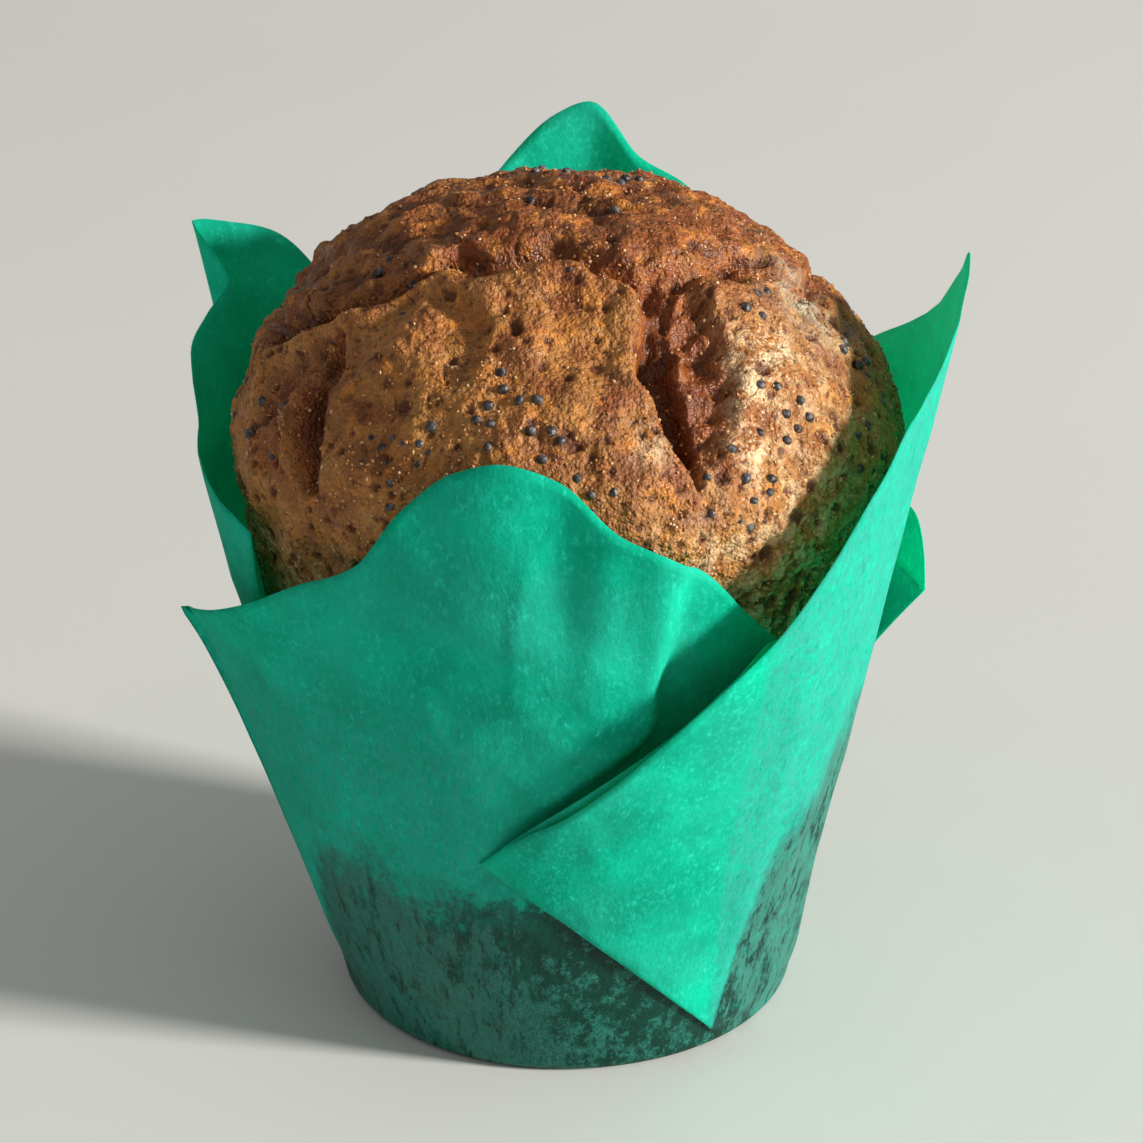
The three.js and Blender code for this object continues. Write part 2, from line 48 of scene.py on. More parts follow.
# The case: a square sheet pressed into a cup with four pleats
BASE_RADIUS = 25
WALL_SLOPE = 0.235  # growth of the wall's radius for each millimetre of height
WALL_BEND = 0.0003  # how much that growth eases off higher up
LEAN_POWER = 2  # the lean of a petal grows with this power of the height
CURL_POWER = 4  # the same for the front petal's tip, which curls in over the cake
CURL_SPAN = [-135, -115, -80, -70]  # azimuths between which the front petal's tip curls
CORNER_RADIUS = 1.6  # rounding between the base and the wall
BASE_SHIFT = (0.5, -0.35)  # how far the base sits out of line with the wall above it
BASE_EASE = 22  # height at which the wall is back in line
PAPER = 0.12  # thickness
LAYER_STEP = 0.32  # from one layer of a pleat to the next
PLEAT_BASE_WIDTH = 5  # degrees of the base that a pleat takes up
LAYER_EASE = 25  # degrees over which a flap comes down from its pleat
FOLD_THINNING = 0.6  # share of the thickness that a strip loses where it stands on edge
FLAP_PEAK = [23, 40]  # azimuths between which the back petal's flap stops leaning out from its foot up
COLUMN_GAP = 1.1  # degrees
WALL_ROW_COUNT = 62
WALL_MIDDLE = 1.3  # radius of the wall's middle, as a share of the base's
ROW_CROWDING = 1.15  # above 1, rows lie closer together near the base
BASE_RINGS = [0.12, 0.3, 0.5, 0.7, 0.82]  # rings of the flat base, as shares of its radius
CORNER_STEPS = 6
CORNER_TURN = 75  # degrees of the rounding before the wall takes over

# Free edge of each petal of the sheet, from its outer flap to its inner end:
# azimuth, height, how far it leans out from the wall, how far it bellies below that
FRONT_PETAL = [
    [-165, 48.7, 4.7, 0], [-155, 51.2, 3.7, 0], [-143, 55.1, 2.6, 0.2], [-131.6, 59.6, 1.4, 0.5],
    [-123.5, 62.2, -0.2, 1], [-115, 69.4, -2.8, 1.5], [-106.9, 73.7, -4.2, 1.7],
    [-99.4, 75.1, -4.5, 1.4], [-90, 73.2, -3.9, 1], [-81.2, 68.4, -2.2, 0.5],
    [-74.6, 66.3, -0.4, 0], [-67.3, 62.9, 0, -0.2], [-59.5, 57.3, 0, -0.3], [-52, 52.7, 0, -0.2],
]
RIGHT_PETAL = [
    [-104.5, 29.3, 1.2, 0], [-96.6, 33.7, 2.4, 0], [-89.3, 37, 3.3, 0], [-82.7, 41.1, 4.1, 0],
    [-77.1, 45.3, 4.7, 0], [-72, 49.1, 5.1, 0], [-65.6, 53.6, 5.2, 0], [-59.9, 57.3, 4.9, 0],
    [-52.6, 62.8, 3.8, 0], [-43.7, 70, 2.3, 0], [-33.8, 74.6, 1.1, 0], [-23, 75.6, 0.3, -0.3],
    [-17, 79, 0, -0.6], [-10, 83, -0.2, -0.7], [-4, 85.6, -0.3, -0.7], [2, 82, 0, -0.6],
    [9, 77.2, 0, -0.3], [19, 72.4, 0, 0], [31, 67.5, 0, 0], [40, 62, 0, 0], [47, 56, -0.3, 0],
]
BACK_PETAL = [
    [9, 43, 5.2, -0.8], [13, 46, 5, -0.8], [18, 49.5, 4.4, -0.7], [25, 51, 3, -0.4],
    [35, 53.5, 1.4, 0], [47, 59, 0.5, 0], [58, 68, 0.3, 0], [70, 79.6, 0, 0], [78, 82.3, 0.6, 0],
    [86, 88, 2, 0], [91, 86.7, 1.5, 0], [100, 80.5, 1, 0], [112, 70, 0.3, 0], [125, 61, 0, 0],
    [140, 54, -0.3, 0],
]
LEFT_PETAL = [
    [107, 43, 3.4, 0], [116, 50, 2, 0], [125, 60, 0.9, 0], [134, 73.5, 0, 0], [140, 78, 0, 0],
    [148, 80.5, 0.8, 0], [154.5, 81.8, 2.6, 0], [158.2, 76.8, -2, 0], [165, 74.2, -1, 0],
    [173, 71.6, 0, 0], [178, 64.5, 0, 0], [190, 63.4, -0.2, 0], [202, 62.8, -0.4, 0],
    [213, 61.5, -0.7, 0],
]

# The layer turned back inside each pleat, from the fold at its inner end to the outer flap's fold
LEFT_PLEAT = [[213, 61.5, -0.7, 0], [209.5, 52, 0, 0], [203, 47, 1.5, 0], [195, 48.7, 5.6, 0]]
FRONT_PLEAT = [
    [-52, 52.7, 0, -0.2], [-58.7, 55.6, 2.8, 0], [-65.2, 52.1, 3.7, 0], [-71.9, 47.8, 3.8, 0],
    [-82.8, 41.4, 3.2, 0], [-96.7, 33.9, 2.2, 0], [-104.5, 29.3, 1.2, 0],
]
RIGHT_PLEAT = [[47, 56, -0.3, 0], [38, 52, 0, 0], [25, 46, 1.2, 0], [9, 43, 5.2, -0.8]]
BACK_PLEAT = [[140, 54, -0.3, 0], [130, 51, 0, 0], [118, 45, 0.8, 0], [107, 43, 3.4, 0]]

# Height up to which grease has soaked each petal, by azimuth
FRONT_GREASE = [
    [-170, 6], [-155, 9], [-147, 21], [-142, 24], [-130, 25.5], [-118, 22], [-106, 24],
    [-90, 24], [-77, 24], [-50, 24],
]
RIGHT_GREASE = [
    [-66, -8], [-54, -2], [-52, 14], [-47, 28], [-40, 33], [-31, 38], [-10, 42], [20, 36], [47, 30],
]
BACK_GREASE = [[20, 22], [50, 27], [80, 22], [110, 28], [140, 25]]
LEFT_GREASE = [[110, 24], [140, 30], [165, 23], [190, 22], [213, 24]]

STRIP_GREASE = 8.0  # the same for the strips inside the pleats
GREASE_BLUR = 7
STAIN_HEART = [-106, 27, -52, 2, 9]  # line along which the stain is darkest, and its reach

# The right petal is worn pale from this line on: azimuth at the base and at the height given
WORN_FOOT, WORN_HEAD, WORN_HEIGHT = -54, -61, 32
FRONT_FADE_AND_SHADE = 0.7  # how much the front petal's left part is faded and painted with shade, against that
FRONT_FADE_AND_SHADE_AZIMUTHS, FRONT_FADE_AND_SHADE_HEIGHTS = [-84, -108], [55, 40]  # where that starts and where it is full

# Petals in order round the case, each with the pleat at its inner end and where that meets the base
SHEET = [
    {"petal": FRONT_PETAL, "pleat": FRONT_PLEAT, "foot": -53, "grease": FRONT_GREASE},
    {"petal": RIGHT_PETAL, "pleat": RIGHT_PLEAT, "foot": 37, "grease": RIGHT_GREASE},
    {"petal": BACK_PETAL, "pleat": BACK_PLEAT, "foot": 125, "grease": BACK_GREASE},
    {"petal": LEFT_PETAL, "pleat": LEFT_PLEAT, "foot": 202, "grease": LEFT_GREASE},
]

# Where the front petal's sheet turns in behind the right petal's flap, from its free edge down:
# azimuth, height, width of the turn and how far in it goes
GROOVE = [
    [-72, 68, 4, 2.2], [-74.3, 61.9, 3, 2.4], [-75, 57.7, 3, 2.2], [-76.2, 51.1, 2, 2.4],
    [-76, 46.2, 2, 2.4], [-78.1, 44.3, 2, 2.2], [-82.5, 42.3, 2, 1.8], [-90.3, 38.8, 2.2, 1.4],
    [-98.8, 35.6, 2.2, 0.9], [-104, 31, 2, 0.3],
]
GROOVE_SWELL = 1.4  # how far the sheet bulges beside the groove
GROOVE_SWELL_REACH = 11
GROOVE_LIMIT = -125  # azimuth left of which the groove does nothing
DENT_EASE = [3, 16]  # heights between which dents and the groove grow to their full depth

# Soft ridges and valleys pressed into the sheet: azimuth and height at both ends, width, rise
DENTS = [
    [-91, 74, -88, 55, 3.4, -0.7], [-83, 68, -85.5, 55, 2.6, 0.5], [-122, 62, -106, 49, 3, -0.6],
    [-114, 61, -86, 53, 3.4, 0.55], [-52, 56, -53.5, 8, 1.6, 0.35], [-40, 70, -44, 20, 4, 0.4],
    [-24, 76, -34, 25, 3, -0.4], [-140, 52, -138, 22, 4, 0.4], [-151, 40, -152, 8, 2.2, 0.35],
    [60, 66, 74, 30, 4, -0.5], [96, 80, 92, 35, 3, 0.5], [130, 66, 140, 25, 4, -0.4],
    [165, 70, 172, 30, 3, 0.5], [20, 60, 12, 15, 4, 0.4],
]

# The cake
CAKE_TOP = 91
CAKE_RADIUS = 36
CAKE_SHIFT = 0.5  # how far the widest place and the top sit towards +X from the foot
CAKE_WIDEST = 65
CAKE_FOOT_RADIUS = 23.2
CAKE_FOOT = 0.9
DOME_POWER = 1.8
SIDE_POWER = 0.9
CROWN_REACH = 58  # distance from the top, along the surface, that the fine crown covers
CROWN_GRID = 280  # squares along each side of the grid that becomes the crown
BODY_ROWS = 14
RELIEF_END = 66  # distance from the top where the relief has faded out
RELIEF_FADE = 10

# The rim of the lobes round the raised top of the cake, with a crevice just above it:
# azimuth, distance from the top along the crust, depth of the crevice
LEDGE = [
    [-190, 36.5, 3.2], [-170, 35.4, 3.2], [-153, 28.5, 2.4], [-139, 23, 1.8], [-132, 18.2, 1.2],
    [-124, 18.4, 1.4], [-113, 17.4, 1.4], [-95, 14.6, 1.6], [-76, 16.8, 1.8], [-62, 20, 2.4],
    [-42, 20.4, 1.6], [-23, 21.7, 1.4], [-14, 27, 1.4], [3, 30.7, 1.2], [30, 34, 0.8],
    [70, 31, 0.6], [110, 33, 0.8], [145, 34.5, 1.6], [160, 36.5, 3], [170, 36.5, 3.2],
]
LEDGE_RISE = 0.9
LEDGE_WIDTH = 1.3
LEDGE_BACK = 1.3  # how far above the line the crevice lies
LIP = 0.9  # how far the lobes' rims stand up below the line
LIP_REACH = 2.3

# Clefts in the crust: azimuth, distance from the top, half width, depth
WIDE_CLEFT = [
    [-60, 19.5, 3, 2.4], [-65, 24.5, 2.8, 3.6], [-70, 28.7, 2.6, 4.8], [-68, 33.3, 2.4, 5],
    [-68, 37.6, 1.8, 4.4], [-68, 41, 0.9, 1.8],
]
CLEFT_SHELF = [
    [-55, 22, 3.4, 2], [-58, 26, 3.4, 2.6], [-59, 30, 3.8, 2.6], [-62, 34, 3.2, 2.4],
    [-65, 38, 2, 1.4],
]
LEFT_CLEFT = [
    [-146, 30, 1.4, 1.8], [-143, 33, 2, 3.2], [-144, 36.5, 3.2, 4.2], [-140, 41, 2.8, 4],
    [-136, 45, 1.2, 1.8],
]
LEFT_TEAR = [[-152, 33, 3.4, 1.2], [-154, 38, 4.8, 1.9], [-149, 43.5, 3.4, 1.4]]
SHOULDER_CREASE = [
    [-129, 22, 1.2, 0.6], [-119, 22.6, 1.6, 0.8], [-112, 24.6, 1.7, 0.7], [-110, 28.5, 1.2, 0.4],
]
BACK_CLEFT = [[96, 32, 2, 1.6], [88, 37, 3, 2.8], [95, 43, 2.4, 2.2], [92, 48, 1, 1]]
SIDE_CLEFT = [[150, 32, 1.6, 1.4], [156, 38, 2.4, 2.2], [150, 44, 1.2, 1]]
CLEFTS = [
    WIDE_CLEFT, CLEFT_SHELF, LEFT_CLEFT, LEFT_TEAR, SHOULDER_CREASE, BACK_CLEFT, SIDE_CLEFT,
]
CLEFT_FLOOR, CLEFT_RIM = 0.3, 1.15  # where a cleft's wall starts and ends, as shares of its half width
DEEPEST_TEAR = 5
# Places where the crust is cream-white: azimuth, distance from the top, reach
CREAM_PATCHES = [[-43, 30, 3.4], [-53, 33.8, 2.8], [-57, 39.3, 2.6], [-75, 37.1, 2]]
SANDY_AZIMUTH = -44  # the crust is sandier towards this side
DUSTY_PATCH = [-15, 28.5, 5]  # a pale patch: azimuth, distance from the top, reach

# Swellings and hollows: azimuth, distance from the top, reach, height
SWELLINGS = [
    [-152, 41, 9, 1], [-100, 36, 11, 0.7], [-45, 34, 8, 0.8], [-90, 24, 6, -1.3],
    [-24, 38, 4.5, -1.5], [-12, 28, 6, -0.6], [10, 30, 12, -1.2], [-29, 20.7, 1.8, -1.2],
    [-130, 27, 5, 0.7], [-98, 20, 5, 0.6], [-175, 45, 9, -0.7], [165, 40, 6, -0.7],
    [-66, 7, 2.2, -0.9], [-44, 14, 2, -0.8], [-154, 14, 3, -0.7], [60, 40, 9, 0.9],
    [125, 40, 10, 0.8], [-178, 17, 9, 1.1], [-66, 57, 8, -1], [-86, 55, 6, -0.8],
]

# Fine relief of the crust, in millimetres: how far each kind stands out or in, and its size across
CRAGS, HILLS, FOLDS, CRUMBLE = 0.36, 0.4, 1.05, 0.3
HOLLOWS, CRACKS, PORES = 0.5, 0.35, 0.4
GRAINS, TORN_GRAINS, LUMPS = 0.24, 0.6, 1.7
CRAG_SIZE, HILL_SIZE, FOLD_SIZE, CRUMBLE_SIZE = 5, 9, 4.4, 1.6
HOLLOW_SIZE, CRACK_SIZE, PORE_SIZE, GRAIN_SIZE, LUMP_SIZE = 3.4, 3.2, 1.9, 1.25, 2.7

# Unevenness of the whole crust: waves across it, as direction, radians per millimetre and height
WAVES = [
    [0.8, 0.5, 0.33, 0.62, 0.22], [-0.4, 0.9, 0.17, 0.81, 0.2], [0.3, -0.6, 0.74, 1.13, 0.16],
    [-0.9, -0.2, 0.38, 1.47, 0.12],
]

# Poppy seeds lie in loose groups: azimuth, distance from the top, reach of the group, seeds
SEED_GROUPS = [
    [-104, 32, 5, 10], [-120, 39, 6, 16], [-96, 36, 5, 9], [-84, 43, 6, 9], [-60, 44, 6, 12],
    [-48, 35, 6, 10], [-14, 37, 6, 11], [-28, 46, 6, 8], [-152, 40, 6, 9], [-150, 22, 9, 6],
    [-30, 26, 6, 4], [60, 36, 9, 14], [25, 42, 7, 8], [108, 38, 9, 13], [160, 38, 8, 11],
    [-175, 44, 5, 6], [90, 18, 14, 8], [0, 8, 22, 8],
]
SEED_RADIUS = 0.62
SEED_APART = 1.35
SEED_LOWEST = 52  # furthest from the top that a seed lies
SEED_NOWHERE = -1.1  # seeds are left out where the relief is deeper than this
SEED_SINK = -0.12
SEED_LEAST, SEED_MOST = (0.78, 0.78, 0.7), (1.15, 1.1, 1.05)  # stretch of the balls

CRUMB_SIZE = 0.21
CRUMB_LEAST, CRUMB_MOST = (0.45, 0.45, 0.35), (1.5, 1.3, 1.0)
CRUMBS_PER_SQUARE_MM = 1.1

# The view of the photograph, on a square frame of 1143 pixels
FRAME_PIXELS = 1143
FOCAL_PIXELS = 3500
SENSOR = 36
CAMERA_PLACE = (1.0, -350.0, 202.1)
CAMERA_DOWN = 23.76

# The lamp and the soft room
KEY_AZIMUTH = -18
KEY_ELEVATION = 18
KEY_DISTANCE = 3
KEY_SIZE = 0.44
KEY_POWER = 164
KEY_COLOUR = (1.0, 0.96, 0.9)
SKY_COLOUR = (1.0, 0.985, 0.95, 1.0)
SKY_STRENGTH = 0.33
FLOOR_SIZE = 12000


def smooth(start, end, value):
    """0 before start, 1 after end, and a soft step between them."""
    t = np.clip((value - start) / (end - start), 0, 1)
    return t * t * (3 - 2 * t)


def follow(keys, item, x):
    """Value number item of a list of keys at places x, on a curve without overshoots."""
    table = np.array(keys, float)
    places, values = table[:, 0], table[:, item]
    slopes = np.diff(values) / np.diff(places)
    tangents = np.zeros(len(places))
    tangents[0], tangents[-1] = slopes[0], slopes[-1]
    before, after = slopes[:-1], slopes[1:]
    same = before * after > 0
    tangents[1:-1][same] = (2 * before * after)[same] / (before + after)[same]
    i = np.clip(np.searchsorted(places, x, side="left") - 1, 0, len(places) - 2)
    width = places[i + 1] - places[i]
    t = np.clip((x - places[i]) / width, 0, 1)
    rise = t * t * (3 - 2 * t)
    start = t * (1 - t) ** 2 * width * tangents[i]
    end = t * t * (t - 1) * width * tangents[i + 1]
    return values[i] * (1 - rise) + values[i + 1] * rise + start + end


def scattered(cells, seed):
    """A repeatable random number from 0 to 1 for each whole-numbered cell."""
    x, y, z = (cells[..., k].astype(np.int64).astype(np.uint32) for k in range(3))
    mixed = x * np.uint32(374761393) + y * np.uint32(668265263) + z * np.uint32(2147483647)
    mixed = (mixed + np.uint32(seed * 144665)) * np.uint32(1274126177)
    mixed = (mixed ^ (mixed >> np.uint32(13))) * np.uint32(1103515245)
    mixed = mixed ^ (mixed >> np.uint32(16))
    return mixed.astype(np.float64) / 4294967295.0


def cloud(points, size, seed):
    """Soft noise from -1 to 1 with bumps about size millimetres apart."""
    scaled = points / size
    cell = np.floor(scaled)
    part = scaled - cell
    part = part * part * (3 - 2 * part)
    total = np.zeros(len(points))
    for corner in np.ndindex(2, 2, 2):
        weight = np.prod(np.where(np.array(corner) == 1, part, 1 - part), axis=1)
        total += weight * scattered(cell + np.array(corner), seed)
    return total * 2 - 1


def clouds(points, size, seed, octaves, fall=0.5):
    """Noise with finer and finer octaves."""
    total = np.zeros(len(points))
    weight, reach = 1.0, 0.0
    for k in range(octaves):
        total += weight * cloud(points + 17.3 * k, size / 2 ** k, seed + k)
        reach += weight
        weight *= fall
    return total / reach


def pebbles(points, size, seed):
    """Distance to the nearest of scattered centres, in cells, and that centre's own random number."""
    scaled = points / size
    cell = np.floor(scaled)
    nearest = np.full(len(points), 9.0)
    own = np.zeros(len(points))
    for step in np.ndindex(3, 3, 3):
        there = cell + np.array(step) - 1
        centre = there + np.stack([scattered(there, seed + k) for k in range(3)], axis=1)
        away = np.linalg.norm(scaled - centre, axis=1)
        closer = away < nearest
        nearest = np.where(closer, away, nearest)
        own = np.where(closer, scattered(there, seed + 5), own)
    return nearest, own


def make_mesh(name, points, faces, attributes, smooth_shaded=True):
    """A mesh object from points in millimetres, faces and named point attributes."""
    mesh = bpy.data.meshes.new(name)
    mesh.from_pydata((np.asarray(points) * MM).tolist(), [], faces)
    mesh.update()
    for label, values in attributes.items():
        values = np.asarray(values, np.float32)
        kind = "FLOAT" if values.ndim == 1 else "FLOAT_VECTOR"
        attribute = mesh.attributes.new(label, kind, "POINT")
        field = "value" if kind == "FLOAT" else "vector"
        attribute.data.foreach_set(field, values.ravel())
    if smooth_shaded and len(mesh.polygons):
        mesh.polygons.foreach_set("use_smooth", [True] * len(mesh.polygons))
    piece = bpy.data.objects.new(name, mesh)
    bpy.context.scene.collection.objects.link(piece)
    return piece


# Paper case

def wall_radius(height):
    return BASE_RADIUS + WALL_SLOPE * height - WALL_BEND * height * height


def pleat_opening(piece):
    """Share of the height at which a pleat's strip stands on edge."""
    overlap = piece["pleat"][0][0] - piece["pleat"][-1][0]
    return PLEAT_BASE_WIDTH / (PLEAT_BASE_WIDTH + overlap)


def curl(azimuth):
    """1 where the front petal's tip curls in over the cake, and 0 away from it."""
    start, full, ease, end = CURL_SPAN
    return smooth(start, full, azimuth) * (1 - smooth(ease, end, azimuth))


def petal_columns(piece, before, number):
    """Columns of the sheet across one petal: foot, folded foot, azimuth, height and the rest."""
    petal = piece["petal"]
    foot_start = before["foot"] + PLEAT_BASE_WIDTH / 2
    foot_end = piece["foot"] - PLEAT_BASE_WIDTH / 2
    first, last = petal[0][0], petal[-1][0]
    covered = before["pleat"][0][0]
    azimuths = []
    for key, following in zip(petal, petal[1:]):
        steps = math.ceil((following[0] - key[0]) / COLUMN_GAP)
        azimuths += [key[0] + (following[0] - key[0]) * k / steps for k in range(steps)]
    azimuth = np.array(azimuths + [last])
    foot = foot_start + (foot_end - foot_start) * (azimuth - first) / (last - first)
    layer = 2 * (1 - smooth(covered, covered + LAYER_EASE, azimuth))
    return {
        "foot": foot,
        "folded_foot": foot,
        "azimuth": azimuth,
        "height": follow(petal, 1, azimuth),
        "lean": follow(petal, 2, azimuth),
        "belly": follow(petal, 3, azimuth),
        "layer": layer,
        "upright": layer,
        "reach": np.zeros(len(azimuth)),
        "opening": np.full(len(azimuth), pleat_opening(before)),
        "strip": np.zeros(len(azimuth)),
        "petal": np.full(len(azimuth), number),
        "power": LEAN_POWER + (CURL_POWER - LEAN_POWER) * curl(azimuth) * (number == 0)
        + (number == 2) * (1 - smooth(*FLAP_PEAK, azimuth)),
    }


def pleat_columns(piece):
    """Columns of the strip turned back inside a pleat, with its two folds."""
    pleat = piece["pleat"]
    feet = [piece["foot"] - PLEAT_BASE_WIDTH / 2, piece["foot"] + PLEAT_BASE_WIDTH / 2]
    backwards = [[-key[0], *key[1:]] for key in pleat]
    steps = max(4, math.ceil((pleat[0][0] - pleat[-1][0]) / COLUMN_GAP))
    azimuth = np.linspace(pleat[0][0], pleat[-1][0], steps + 1)
    bends = []
    for key, foot, direction in ((pleat[0], feet[0], 1), (pleat[-1], feet[1], -1)):
        sweep = math.radians(key[0] - foot) * wall_radius(key[1])
        bends.append(direction * LAYER_STEP / 2 * math.hypot(1, sweep / key[1]))
    turn = np.array([0.25, 0.5, 0.75])
    swing = np.sin(np.pi * turn)
    count = len(azimuth) + 2 * len(turn)
    power = np.full(count, LEAN_POWER)
    share = (np.arange(count) + 1) / (count + 1)
    along = np.concatenate([np.zeros(3), np.linspace(0, 1, len(azimuth)), np.ones(3)])
    places = np.concatenate([np.full(3, azimuth[0]), azimuth, np.full(3, azimuth[-1])])
    if pleat is RIGHT_PLEAT:
        power = power + 1 - smooth(*FLAP_PEAK, places)
    return {
        "foot": feet[0] + (feet[1] - feet[0]) * share,
        "folded_foot": feet[0] + (feet[1] - feet[0]) * along,
        "azimuth": places,
        "height": follow(backwards, 1, -places),
        "lean": follow(backwards, 2, -places),
        "belly": follow(backwards, 3, -places),
        "layer": np.concatenate([turn, np.ones(len(azimuth)), 1 + turn]),
        "upright": 2 * share,
        "reach": np.concatenate([bends[0] * swing, np.zeros(len(azimuth)), bends[1] * swing]),
        "opening": np.full(count, pleat_opening(piece)),
        "strip": np.ones(count),
        "petal": np.full(count, -1),
        "power": power,
    }


def sheet_columns():
    """Every column round the sheet, as arrays by name."""
    parts = []
    for i, piece in enumerate(SHEET):
        previous = SHEET[i - 1]
        wrap = -360 if i == 0 else 0
        before = {
            "foot": previous["foot"] + wrap,
            "pleat": [[key[0] + wrap, *key[1:]] for key in previous["pleat"]],
        }
        parts += [petal_columns(piece, before, i), pleat_columns(piece)]
    return {name: np.concatenate([part[name] for part in parts]) for name in parts[0]}


def wall_points(columns, share):
    """Points of the sheet's middle surface at shares of each column's height, with azimuths."""
    c = {name: values[:, None] for name, values in columns.items()}
    folded = smooth(c["opening"], 2 * c["opening"], share)
    layer = c["upright"] + (c["layer"] - c["upright"]) * folded
    foot = c["foot"] + (c["folded_foot"] - c["foot"]) * folded
    height = CORNER_RADIUS + (c["height"] - CORNER_RADIUS) * share
    radius = (
        wall_radius(height)
        + layer * LAYER_STEP * smooth(0, c["opening"], share)
        + c["lean"] * share ** c["power"]
        + c["belly"] * np.sin(np.pi * share)
    )
    azimuth = np.radians(foot + (c["azimuth"] - foot) * share) + c["reach"] * folded / radius
    return azimuth, radius, height + 0 * azimuth, folded + 0 * azimuth


def settle(points):
    """Moves the case's base a little to one side, and the cake's foot with it."""
    share = 1 - smooth(0, BASE_EASE, points[..., 2])
    points[..., 0] += BASE_SHIFT[0] * share
    points[..., 1] += BASE_SHIFT[1] * share
    return points


def along_line(azimuth, height, start, end):
    """Distance from a line on the unrolled wall, place along it, and which side (1 is below it)."""
    middle = math.radians(1) * wall_radius((start[1] + end[1]) / 2)
    across, upward = (end[0] - start[0]) * middle, end[1] - start[1]
    x, y = (azimuth - start[0]) * middle, height - start[1]
    t = np.clip((x * across + y * upward) / (across ** 2 + upward ** 2), 0, 1)
    side = np.sign(x * upward - y * across)
    return np.hypot(x - across * t, y - upward * t), t, side


def groove(azimuth, height):
    """How far the front petal's sheet stands out or in beside the right petal's flap."""
    nearest = np.full(azimuth.shape, 1e3)
    offset = np.zeros(azimuth.shape)
    for start, end in zip(GROOVE, GROOVE[1:]):
        away, t, side = along_line(azimuth, height, start, end)
        width = start[2] + (end[2] - start[2]) * t
        depth = start[3] + (end[3] - start[3]) * t
        share = depth / GROOVE[3][3]
        swell = share * GROOVE_SWELL * np.exp(-((away / GROOVE_SWELL_REACH) ** 2))
        here = np.where(side > 0, swell, share * GROOVE_SWELL - depth * smooth(0, width, away))
        closer = away < nearest
        offset = np.where(closer, here, offset)
        nearest = np.where(closer, away, nearest)
    return offset


def paper_dents(points, azimuth, height):
    """How far handling has pushed the paper in or out, in millimetres."""
    broad = clouds(points * [1, 1, 0.6], 21, 31, 2) * 0.7
    creases = 1 - np.abs(clouds(points * [1, 1, 0.45], 9, 41, 2)) * 2.4
    total = (broad + 0.22 * np.clip(creases, 0, 1) ** 2).reshape(azimuth.shape)
    for dent in DENTS:
        away, t, _ = along_line(azimuth, height, dent[:2], dent[2:4])
        total += dent[5] * np.exp(-((away / dent[4]) ** 2))
    return total


def base_rings():
    """Radius and height of the rings of the base and of its rounded corner."""
    rim = wall_radius(CORNER_RADIUS)
    corner = np.radians(np.linspace(0, CORNER_TURN, CORNER_STEPS))
    radii = [rim * np.array(BASE_RINGS), rim - CORNER_RADIUS * (1 - np.sin(corner))]
    heights = [np.zeros(len(BASE_RINGS)), CORNER_RADIUS * (1 - np.cos(corner))]
    return np.concatenate(radii), np.concatenate(heights) + PAPER / 2


def sheet_grid(columns):
    """Azimuth, radius, height and openness of the fold, for every column and row of the sheet."""
    share = np.linspace(0, 1, WALL_ROW_COUNT) ** ROW_CROWDING
    azimuth, radius, height, folded = wall_points(columns, share[None, :])
    ring_radii, ring_heights = base_rings()
    count = len(azimuth)
    foot = np.repeat(np.radians(columns["foot"])[:, None], len(ring_radii), axis=1)
    azimuth = np.concatenate([foot, azimuth], axis=1)
    radius = np.concatenate([np.tile(ring_radii, (count, 1)), radius], axis=1)
    height = np.concatenate([np.tile(ring_heights, (count, 1)), height], axis=1)
    return azimuth, radius, height, folded


def sheet_faces(count, rows):
    """Faces of a thick sheet that closes round on itself: both sides, the edge and the base."""
    inside = count * rows
    centre = 2 * inside
    faces, fans = [], []
    for c in range(count):
        this, following = c * rows, ((c + 1) % count) * rows
        for r in range(rows - 1):
            corners = [this + r, following + r, following + r + 1, this + r + 1]
            turned = [corners[k] + inside for k in (0, 3, 2, 1)]
            faces += [tuple(corners), tuple(turned)]
        top = rows - 1
        faces.append((this + top, following + top, inside + following + top, inside + this + top))
        fans += [(centre, following, this), (centre + 1, inside + this, inside + following)]
    return faces + fans


def case_stains(columns, degrees, height):
    """How soaked and how darkly stained the sheet is at each of its points, and its wear, with the
    front petal's painted shade added to the wear.
    """
    top = np.full(degrees.shape, STRIP_GREASE)
    for i, piece in enumerate(SHEET):
        here = columns["petal"] == i
        top[here] = follow(piece["grease"], 1, degrees[here].ravel()).reshape(degrees[here].shape)
    grease = 1 - smooth(-GREASE_BLUR, GREASE_BLUR, height - top)
    front, right = ((columns["petal"] == i)[:, None] for i in (0, 1))
    worn_line = WORN_FOOT + (WORN_HEAD - WORN_FOOT) * np.clip(height / WORN_HEIGHT, 0, 1)
    wear_and_shade = smooth(-1, 1.4, degrees - worn_line) * right
    # Painted shade and fading: the front petal's left part joins the wear mask, which dulls and darkens
    # it
    wear_and_shade = wear_and_shade + FRONT_FADE_AND_SHADE * smooth(*FRONT_FADE_AND_SHADE_AZIMUTHS, degrees) * smooth(*FRONT_FADE_AND_SHADE_HEIGHTS, height) * front
    away, _, _ = along_line(degrees, height, STAIN_HEART[:2], STAIN_HEART[2:4])
    ring = 0.5 * (1 - wear_and_shade) * np.exp(-(((height - top) / GREASE_BLUR) ** 2))
    return grease, np.exp(-((away / STAIN_HEART[4]) ** 2)) + ring, wear_and_shade


def on_both_sides(values):
    """Values for the outer side, the inner side and the two middles of the base."""
    return np.concatenate([values.ravel(), values.ravel(), [0, 0]])


